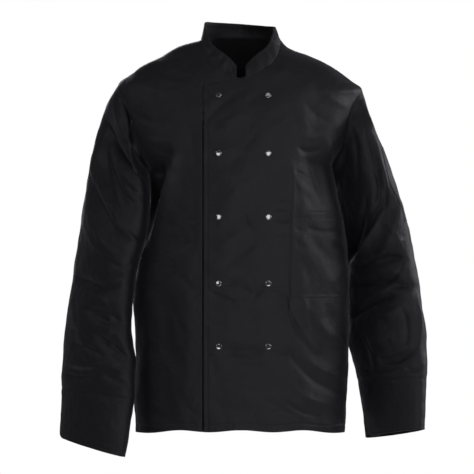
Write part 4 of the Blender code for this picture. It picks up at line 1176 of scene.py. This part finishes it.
rows = slice(nearest(LEVELS, POCKET_FOOT), nearest(LEVELS, POCKET_MOUTH) + 1)
column = len(strip_left) + nearest(inner_left, UNDER_EDGE) + 1
patch = over[rows, column:-1]
patch_normals = over_normals[rows, column:-1]
from_edge = np.linalg.norm(patch - patch[:, :1], axis=-1)
from_foot = np.linalg.norm(patch - patch[:1], axis=-1)
from_mouth = np.linalg.norm(patch - patch[-1:], axis=-1)
rise = groove(from_edge - EDGE_BAND, *PATCH_GROOVE) + groove(from_foot - EDGE_BAND, *PATCH_GROOVE)
rise += groove(from_mouth - MOUTH_BAND, *MOUTH_GROOVE)
pocket = patch + (PATCH_WALL + PATCH_AIR + rise)[..., None] * patch_normals
cloth("chest_pocket_cloth", "chest_pocket", pocket, patch_normals, PATCH_WALL)

PEN_RINGS, PEN_HALF, PEN_BAND = (2.955, 5.909), math.radians(30), 0.004
pen_ring = spaced(PEN_RINGS, 0.07)[:, None]
pen_turn = spaced([-PEN_HALF, PEN_HALF], 0.045)[None, :]
pen_turn, pen_ring = pen_turn + 0 * pen_ring, pen_ring + 0 * pen_turn
full_turn = np.linspace(0, 2 * math.pi, 49)[None, :] + 0 * pen_ring[:, :1]
turns = np.concatenate([pen_turn, full_turn], axis=1)
rings = np.concatenate([pen_ring, pen_ring[:, :1] + 0 * full_turn], axis=1)
pen_points, pen_normals = (grid[:, : pen_turn.shape[1]] for grid in sleeve_cloth(1, turns, rings))
from_side = np.minimum(far(pen_points), far(pen_points, 0))
from_rows = np.linalg.norm(pen_points - pen_points[-1:], axis=-1)
rise = groove(from_side - PEN_BAND, *PEN_GROOVE) + groove(from_rows - PEN_BAND, *PEN_GROOVE)
pen = pen_points + (PATCH_WALL + PATCH_AIR + rise)[..., None] * pen_normals
cloth("pen_pocket_cloth", "pen_pocket", pen, pen_normals, PATCH_WALL)

# %% [markdown]
# ## Press studs
#
# A stud's cap is turned: a profile of radius and height goes once round its axis. The top is nearly
# flat, so that it mirrors one bright patch, and the rim is round.

# %% Turn the caps
STUD_X = {"right": -0.0420, "left": 0.0510}
STUD_HEIGHTS = (-0.1040, -0.2130, -0.3330, -0.4580, -0.5770)
STUD_RADIUS, STUD_RISE, STUD_RIM, STUD_CROWN, STUD_SIDES = 0.0062, 0.0030, 0.0008, 0.0002, 40


def stud_profile():
    """Radius and height: a shallow crown, a quarter round, a short rim and a flat foot."""
    bend = STUD_RISE - STUD_CROWN
    crown = np.linspace(0, 1, 7)[1:] * (STUD_RADIUS - bend * 0.8)
    angle = np.linspace(0, math.pi / 2, 7)[1:]
    top = [(r, STUD_RISE - STUD_CROWN * (r / crown[-1]) ** 2 * 0.5) for r in crown]
    height = top[-1][1]
    side = [(crown[-1] + bend * 0.8 * math.sin(a), STUD_RIM + (height - STUD_RIM) * math.cos(a))
            for a in angle]
    return np.array([(0.00005, STUD_RISE), *top, *side, (STUD_RADIUS * 0.97, 0.0), (0.00005, 0.0)])


def over_spot(x, height):
    """Place and true normal of the over-front at this x and height, from its slopes with folds."""
    def form(u, v):
        return torso_cloth(u, v, lifted=True)[0]

    heading = front_heading(np.array([[x]]), np.array([[height]]))
    level = np.array([[height]])
    return form(heading, level)[0, 0], normals_of(form, heading, level, 1e-3)[0, 0]


def make_stud(name, x, height):
    """(r cos a, r sin a, h) turned on to the cloth's normal."""
    spot, normal = over_spot(x, height)
    side = unit(np.cross([0.0, 0.0, 1.0], normal))
    up = np.cross(normal, side)
    profile = stud_profile()
    angle = np.linspace(0, 2 * math.pi, STUD_SIDES, endpoint=False)
    r, h = profile[:, 0][:, None, None], profile[:, 1][:, None, None]
    a = angle[None, :, None]
    points = spot + r * np.cos(a) * side + r * np.sin(a) * up + (h - 0.0001) * normal
    ids = np.arange(points.shape[0] * STUD_SIDES).reshape(-1, STUD_SIDES)
    made = add_mesh(name, points, [*tube_faces(ids), ids[0].tolist(), ids[-1][::-1].tolist()])
    made.data.shade_smooth()
    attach(made, "root")
    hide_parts(name.replace("_cap", ""))
    return made


studs = [make_stud(f"stud_{side}_{number}_cap", x, height)
         for side, x in STUD_X.items() for number, height in enumerate(STUD_HEIGHTS, start=1)]
print("studs:", len(studs))

# %% [markdown]
# ## Stitching
#
# Each stitch is a short tube with pinched ends that sink into the cloth. All the stitches of one line
# are worked out together, as one array of places along the line.

# %% Sew the lines
def stitches(name, lines, pitch=0.0031, length=0.0024, radius=0.00026):
    """Dashes along lines of (points, normals): rings of five points round each dash's axis."""
    places, ways, ups = [], [], []
    for line, normal in lines:
        run = running(line)
        starts = np.arange(0.3 * pitch, run[-1] - length, pitch)
        share = np.array([0.0, 0.18, 0.82, 1.0]) * length
        at = starts[:, None] + share[None, :]
        place = np.stack([np.interp(at, run, line[:, k]) for k in range(3)], axis=-1)
        up = unit(np.stack([np.interp(at, run, normal[:, k]) for k in range(3)], axis=-1))
        way = unit(place[:, -1:] - place[:, :1])
        places.append(place)
        ways.append(way + 0 * place)
        ups.append(up)
    place, way, up = (np.concatenate(group) for group in (places, ways, ups))
    side = np.cross(way, up)
    angle = np.linspace(0, 2 * math.pi, 5, endpoint=False)[:, None]
    swell = np.array([0.45, 1.0, 1.0, 0.45])[None, :, None, None] * radius
    sink = np.array([-0.7, 0.45, 0.45, -0.7])[None, :, None] * radius
    middle = place + sink * up
    ring = np.cos(angle) * side[:, :, None] + np.sin(angle) * up[:, :, None]
    points = middle[:, :, None] + swell * ring
    count = len(points)
    ids = np.arange(count * 20).reshape(count, 4, 5)
    around = np.roll(ids, -1, axis=2)
    sides = np.stack([ids[:, :-1], around[:, :-1], around[:, 1:], ids[:, 1:]], axis=-1).reshape(-1, 4)
    made = add_mesh(name, points, [*sides.tolist(), *ids[:, 0, ::-1].tolist(), *ids[:, -1].tolist()])
    made.data.shade_smooth()
    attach(made, "root")
    print(name, count, "stitches")
    return made


def grid_line(points, normals, row=slice(None), column=slice(None)):
    """One row or one column of a grid, as a line."""
    return points[row, column], normals[row, column]


hem_row = nearest(LEVELS, HEM + HEM_BAND)
neck_row = len(LEVELS) + ROWS_BREAST - 1
edge_column = nearest(strip_left, OVER_EDGE + EDGE_BAND)
top_row = nearest(over[neck_row - 8:neck_row, 0, 2], over[neck_row, 0, 2] - EDGE_BAND) + neck_row - 8
threads = [
    stitches("hem_stitches", [
        grid_line(over, over_normals, hem_row),
        grid_line(under, under_normals, hem_row),
        grid_line(back, back_normals, hem_row)]),
    stitches("front_edge_stitches", [
        grid_line(over, over_normals, slice(hem_row, top_row + 1), edge_column),
        grid_line(over, over_normals, top_row, slice(edge_column, len(strip_left)))]),
]


def inset(grid, normals, distance, target):
    """The line on a grid at a set distance from its first row: each column's first crossing."""
    row = np.clip((distance < target).argmin(axis=0), 1, len(grid) - 1)
    column = np.arange(grid.shape[1])
    a, b = distance[row - 1, column], distance[row, column]
    t = np.clip((target - a) / np.maximum(b - a, 1e-9), 0, 1)[:, None]
    return (grid[row - 1, column] * (1 - t) + grid[row, column] * t,
            normals[row - 1, column] * (1 - t) + normals[row, column] * t)


def inset_from(grid, normals, target, side):
    """The same from any side of a grid."""
    turned = {"first": (grid, normals), "last": (grid[::-1], normals[::-1]),
              "left": (np.swapaxes(grid, 0, 1), np.swapaxes(normals, 0, 1)),
              "right": (np.swapaxes(grid, 0, 1)[::-1], np.swapaxes(normals, 0, 1)[::-1])}
    points, ways = turned[side]
    return inset(points, ways, np.linalg.norm(points - points[:1], axis=-1), target)


# piece: its grid, its normals, and the distance of each line of stitching from a side of the grid
INSETS = {
    "pocket": (pocket, patch_normals, (("left", EDGE_BAND), ("first", EDGE_BAND), ("last", MOUTH_BAND))),
    "pen_pocket": (pen, pen_normals, (("left", PEN_BAND), ("right", PEN_BAND), ("last", PEN_BAND))),
    "collar": (collar, collar_normals,
               (("last", 0.0045), ("first", 0.0035), ("left", 0.0045), ("right", 0.0045))),
    "cuff_right": (*cuff_right, (("first", CUFF_TOP_LINE), ("last", CUFF_FOOT_LINE))),
    "cuff_left": (*cuff_left, (("first", CUFF_TOP_LINE), ("last", CUFF_FOOT_LINE))),
}
for word, (grid, normals, lines) in INSETS.items():
    threads.append(stitches(f"{word}_stitches",
                            [inset_from(grid, normals, target, side) for side, target in lines]))
print("threads:", len(threads))

# %% [markdown]
# ## A way to write shader maths
#
# A material is a graph of nodes. Here a socket is wrapped in a small class, so that mask * 2 + 1 adds the
# Math nodes by itself, and any other node comes from one method.

# %% Wrap a socket
class Shade:
    """A node's output that takes part in Python arithmetic."""

    def __init__(self, tree, socket):
        self.tree, self.socket = tree, socket

    def make(self, kind, settings=None, sockets=None, output=0):
        """A new node: its settings are set first, then its sockets get values or links."""
        node = self.tree.nodes.new(kind)
        for name, value in (settings or {}).items():
            setattr(node, name, value)
        for name, value in (sockets or {}).items():
            if isinstance(value, Shade):
                self.tree.links.new(value.socket, node.inputs[name])
            else:
                node.inputs[name].default_value = value
        return Shade(self.tree, node.outputs[output])

    def maths(self, operation, *others):
        """A Math node on this value and others."""
        return self.make("ShaderNodeMath", {"operation": operation}, dict(enumerate((self, *others))))

    def __add__(self, other):
        return self.maths("ADD", other)

    def __sub__(self, other):
        return self.maths("SUBTRACT", other)

    def __mul__(self, other):
        return self.maths("MULTIPLY", other)

    __radd__, __rmul__ = __add__, __mul__

    def noise(self, scale, detail=3.0, roughness=0.5):
        """Noise read at this vector, about 0.5 in the middle."""
        return self.make("ShaderNodeTexNoise", None,
                         {"Vector": self, "Scale": scale, "Detail": detail, "Roughness": roughness})

    def blend(self, dark, light):
        """A colour between two, by this value."""
        mixed = self.make("ShaderNodeMix", {"data_type": "RGBA"}, {"Factor": self}, 2)
        node = mixed.socket.node
        node.inputs[6].default_value, node.inputs[7].default_value = dark, light
        return mixed


def new_material(name, roughness):
    """A material with one Principled shader: the material, the shader and a Shade to start from."""
    material = bpy.data.materials.new(name)
    material.use_nodes = True
    shader = material.node_tree.nodes["Principled BSDF"]
    shader.inputs["Roughness"].default_value = roughness
    return material, shader, Shade(material.node_tree, None)


print("shader maths ready")

# %% [markdown]
# ## Black twill
#
# Twill shows fine slanting ribs, because each thread passes over two and under one, a step further in
# every row. A sine along u + v makes the ribs, and a second one across them breaks them into threads.
# The dye is not quite even, so two near-blacks are mixed by a slow noise.

# %% Mix the twill
TWILL_DARK, TWILL_LIGHT = (0.0042, 0.0041, 0.0047, 1), (0.0068, 0.0066, 0.0076, 1)
RIB, THREAD = 0.00085, 0.00055  # from one to the next, in metres


def make_twill(name, dark, light, roughness=0.47, sheen=0.10):
    """Ribs on the cloth's own UV map, in metres, and a noise of dye on Object coordinates."""
    material, shader, start = new_material(name, roughness)
    uv = start.make("ShaderNodeUVMap", {"uv_map": "cloth"})
    parts = uv.make("ShaderNodeSeparateXYZ", None, {"Vector": uv})
    u, v = parts, Shade(parts.tree, parts.socket.node.outputs[1])
    place = start.make("ShaderNodeTexCoord", output=3)
    rib = ((u + v) * (2 * math.pi / RIB)).maths("SINE")
    thread = ((u - v * 0.4) * (2 * math.pi / THREAD)).maths("SINE")
    slub = place.noise(900.0, 2.0)
    dye = place.noise(38.0, 4.0, 0.6)
    weave = rib * 0.6 + thread * 0.25 + slub * 0.8
    colour = (dye * 0.75 + weave * 0.12 + 0.02).blend(dark, light)
    start.tree.links.new(colour.socket, shader.inputs["Base Color"])
    rough = roughness + 0.10 * (dye - 0.5) + 0.03 * rib
    start.tree.links.new(rough.socket, shader.inputs["Roughness"])
    rumple = place.noise(95.0, 5.0, 0.62)
    soft = start.make("ShaderNodeBump", None, {"Strength": 0.85, "Distance": 0.0011, "Height": rumple})
    bump = start.make("ShaderNodeBump", None,
                      {"Strength": 0.35, "Distance": 0.00012, "Height": weave, "Normal": soft})
    start.tree.links.new(bump.socket, shader.inputs["Normal"])
    shader.inputs["Specular IOR Level"].default_value = 0.30
    shader.inputs["Sheen Weight"].default_value = sheen
    shader.inputs["Sheen Roughness"].default_value = 0.45
    shader.inputs["Sheen Tint"].default_value = (0.92, 0.90, 1.0, 1)
    return material


twill = make_twill("black_twill", TWILL_DARK, TWILL_LIGHT)
for made, _ in PIECES.values():
    made.data.materials.append(twill)
print("twill on", len(PIECES), "pieces")

# %% [markdown]
# ## Thread and studs
#
# Sewing thread is smoother than the cloth, so it catches a little more light. The studs are moulded in
# hard gloss plastic, and a coat over a black base gives their sharp white spots.

# %% Mix the thread and the gloss
def make_thread():
    """Polyester thread: a fine twist of noise on a black base."""
    material, shader, start = new_material("black_thread", 0.5)
    place = start.make("ShaderNodeTexCoord", output=3)
    twist = place.noise(2400.0, 1.0)
    colour = twist.blend((0.010, 0.010, 0.011, 1), (0.020, 0.020, 0.022, 1))
    start.tree.links.new(colour.socket, shader.inputs["Base Color"])
    return material


def make_gloss():
    """Moulded plastic: black, with faint flow marks in its roughness and a clear coat."""
    material, shader, start = new_material("gloss_black", 0.12)
    place = start.make("ShaderNodeTexCoord", output=3)
    marks = place.noise(260.0, 2.0)
    colour = marks.blend((0.008, 0.008, 0.009, 1), (0.013, 0.013, 0.014, 1))
    start.tree.links.new(colour.socket, shader.inputs["Base Color"])
    rough = 0.06 + 0.04 * marks
    start.tree.links.new(rough.socket, shader.inputs["Roughness"])
    shader.inputs["Coat Weight"].default_value = 1.0
    shader.inputs["Coat Roughness"].default_value = 0.03
    shader.inputs["Coat IOR"].default_value = 2.2
    shader.inputs["Specular IOR Level"].default_value = 0.8
    return material


thread, gloss = make_thread(), make_gloss()
for made in threads:
    made.data.materials.append(thread)
for made in studs:
    made.data.materials.append(gloss)

material, shader, start = new_material("floor_paper", 0.9)
shader.inputs["Base Color"].default_value = (0.9, 0.9, 0.9, 1)
floor.data.materials.append(material)
print("materials:", len(bpy.data.materials))

# %% [markdown]
# ## Say what the cloth is
#
# Each piece is a sheet that was cut flat. The flat sizes are estimates of usual pattern pieces. The cell
# prints how much of that area each piece shows. Far above 1 the estimate is too small, as for the chest
# pocket and the cuffs, and far below 1 it is too large, as for the collar.

CUTS = {
    # piece: (width, length, cut share, how it is held, what carries it)
    "front_over_cloth": (0.385, 0.770, 0.80, "hung", ["back"]),
    "front_under_cloth": (0.375, 0.770, 0.80, "hung", ["back"]),
    "back_cloth": (0.560, 0.775, 0.84, "hung", ["collar"]),
    "collar_cloth": (0.455, 0.040, 0.92, "hung", ["back"]),
    "sleeve_right_cloth": (0.460, 0.600, 0.80, "hung", ["back"]),
    "sleeve_left_cloth": (0.460, 0.570, 0.80, "hung", ["back"]),
    "cuff_right_cloth": (0.330, 0.112, 0.97, "hung", ["sleeve_right"]),
    "cuff_left_cloth": (0.320, 0.112, 0.97, "hung", ["sleeve_left"]),
    "chest_pocket_cloth": (0.125, 0.166, 1.0, "hung", ["front_over"]),
    "pen_pocket_cloth": (0.075, 0.150, 1.0, "hung", ["sleeve_left"]),
}
for name, (width, length, cut, held, carrier) in CUTS.items():
    made, area = PIECES[name]
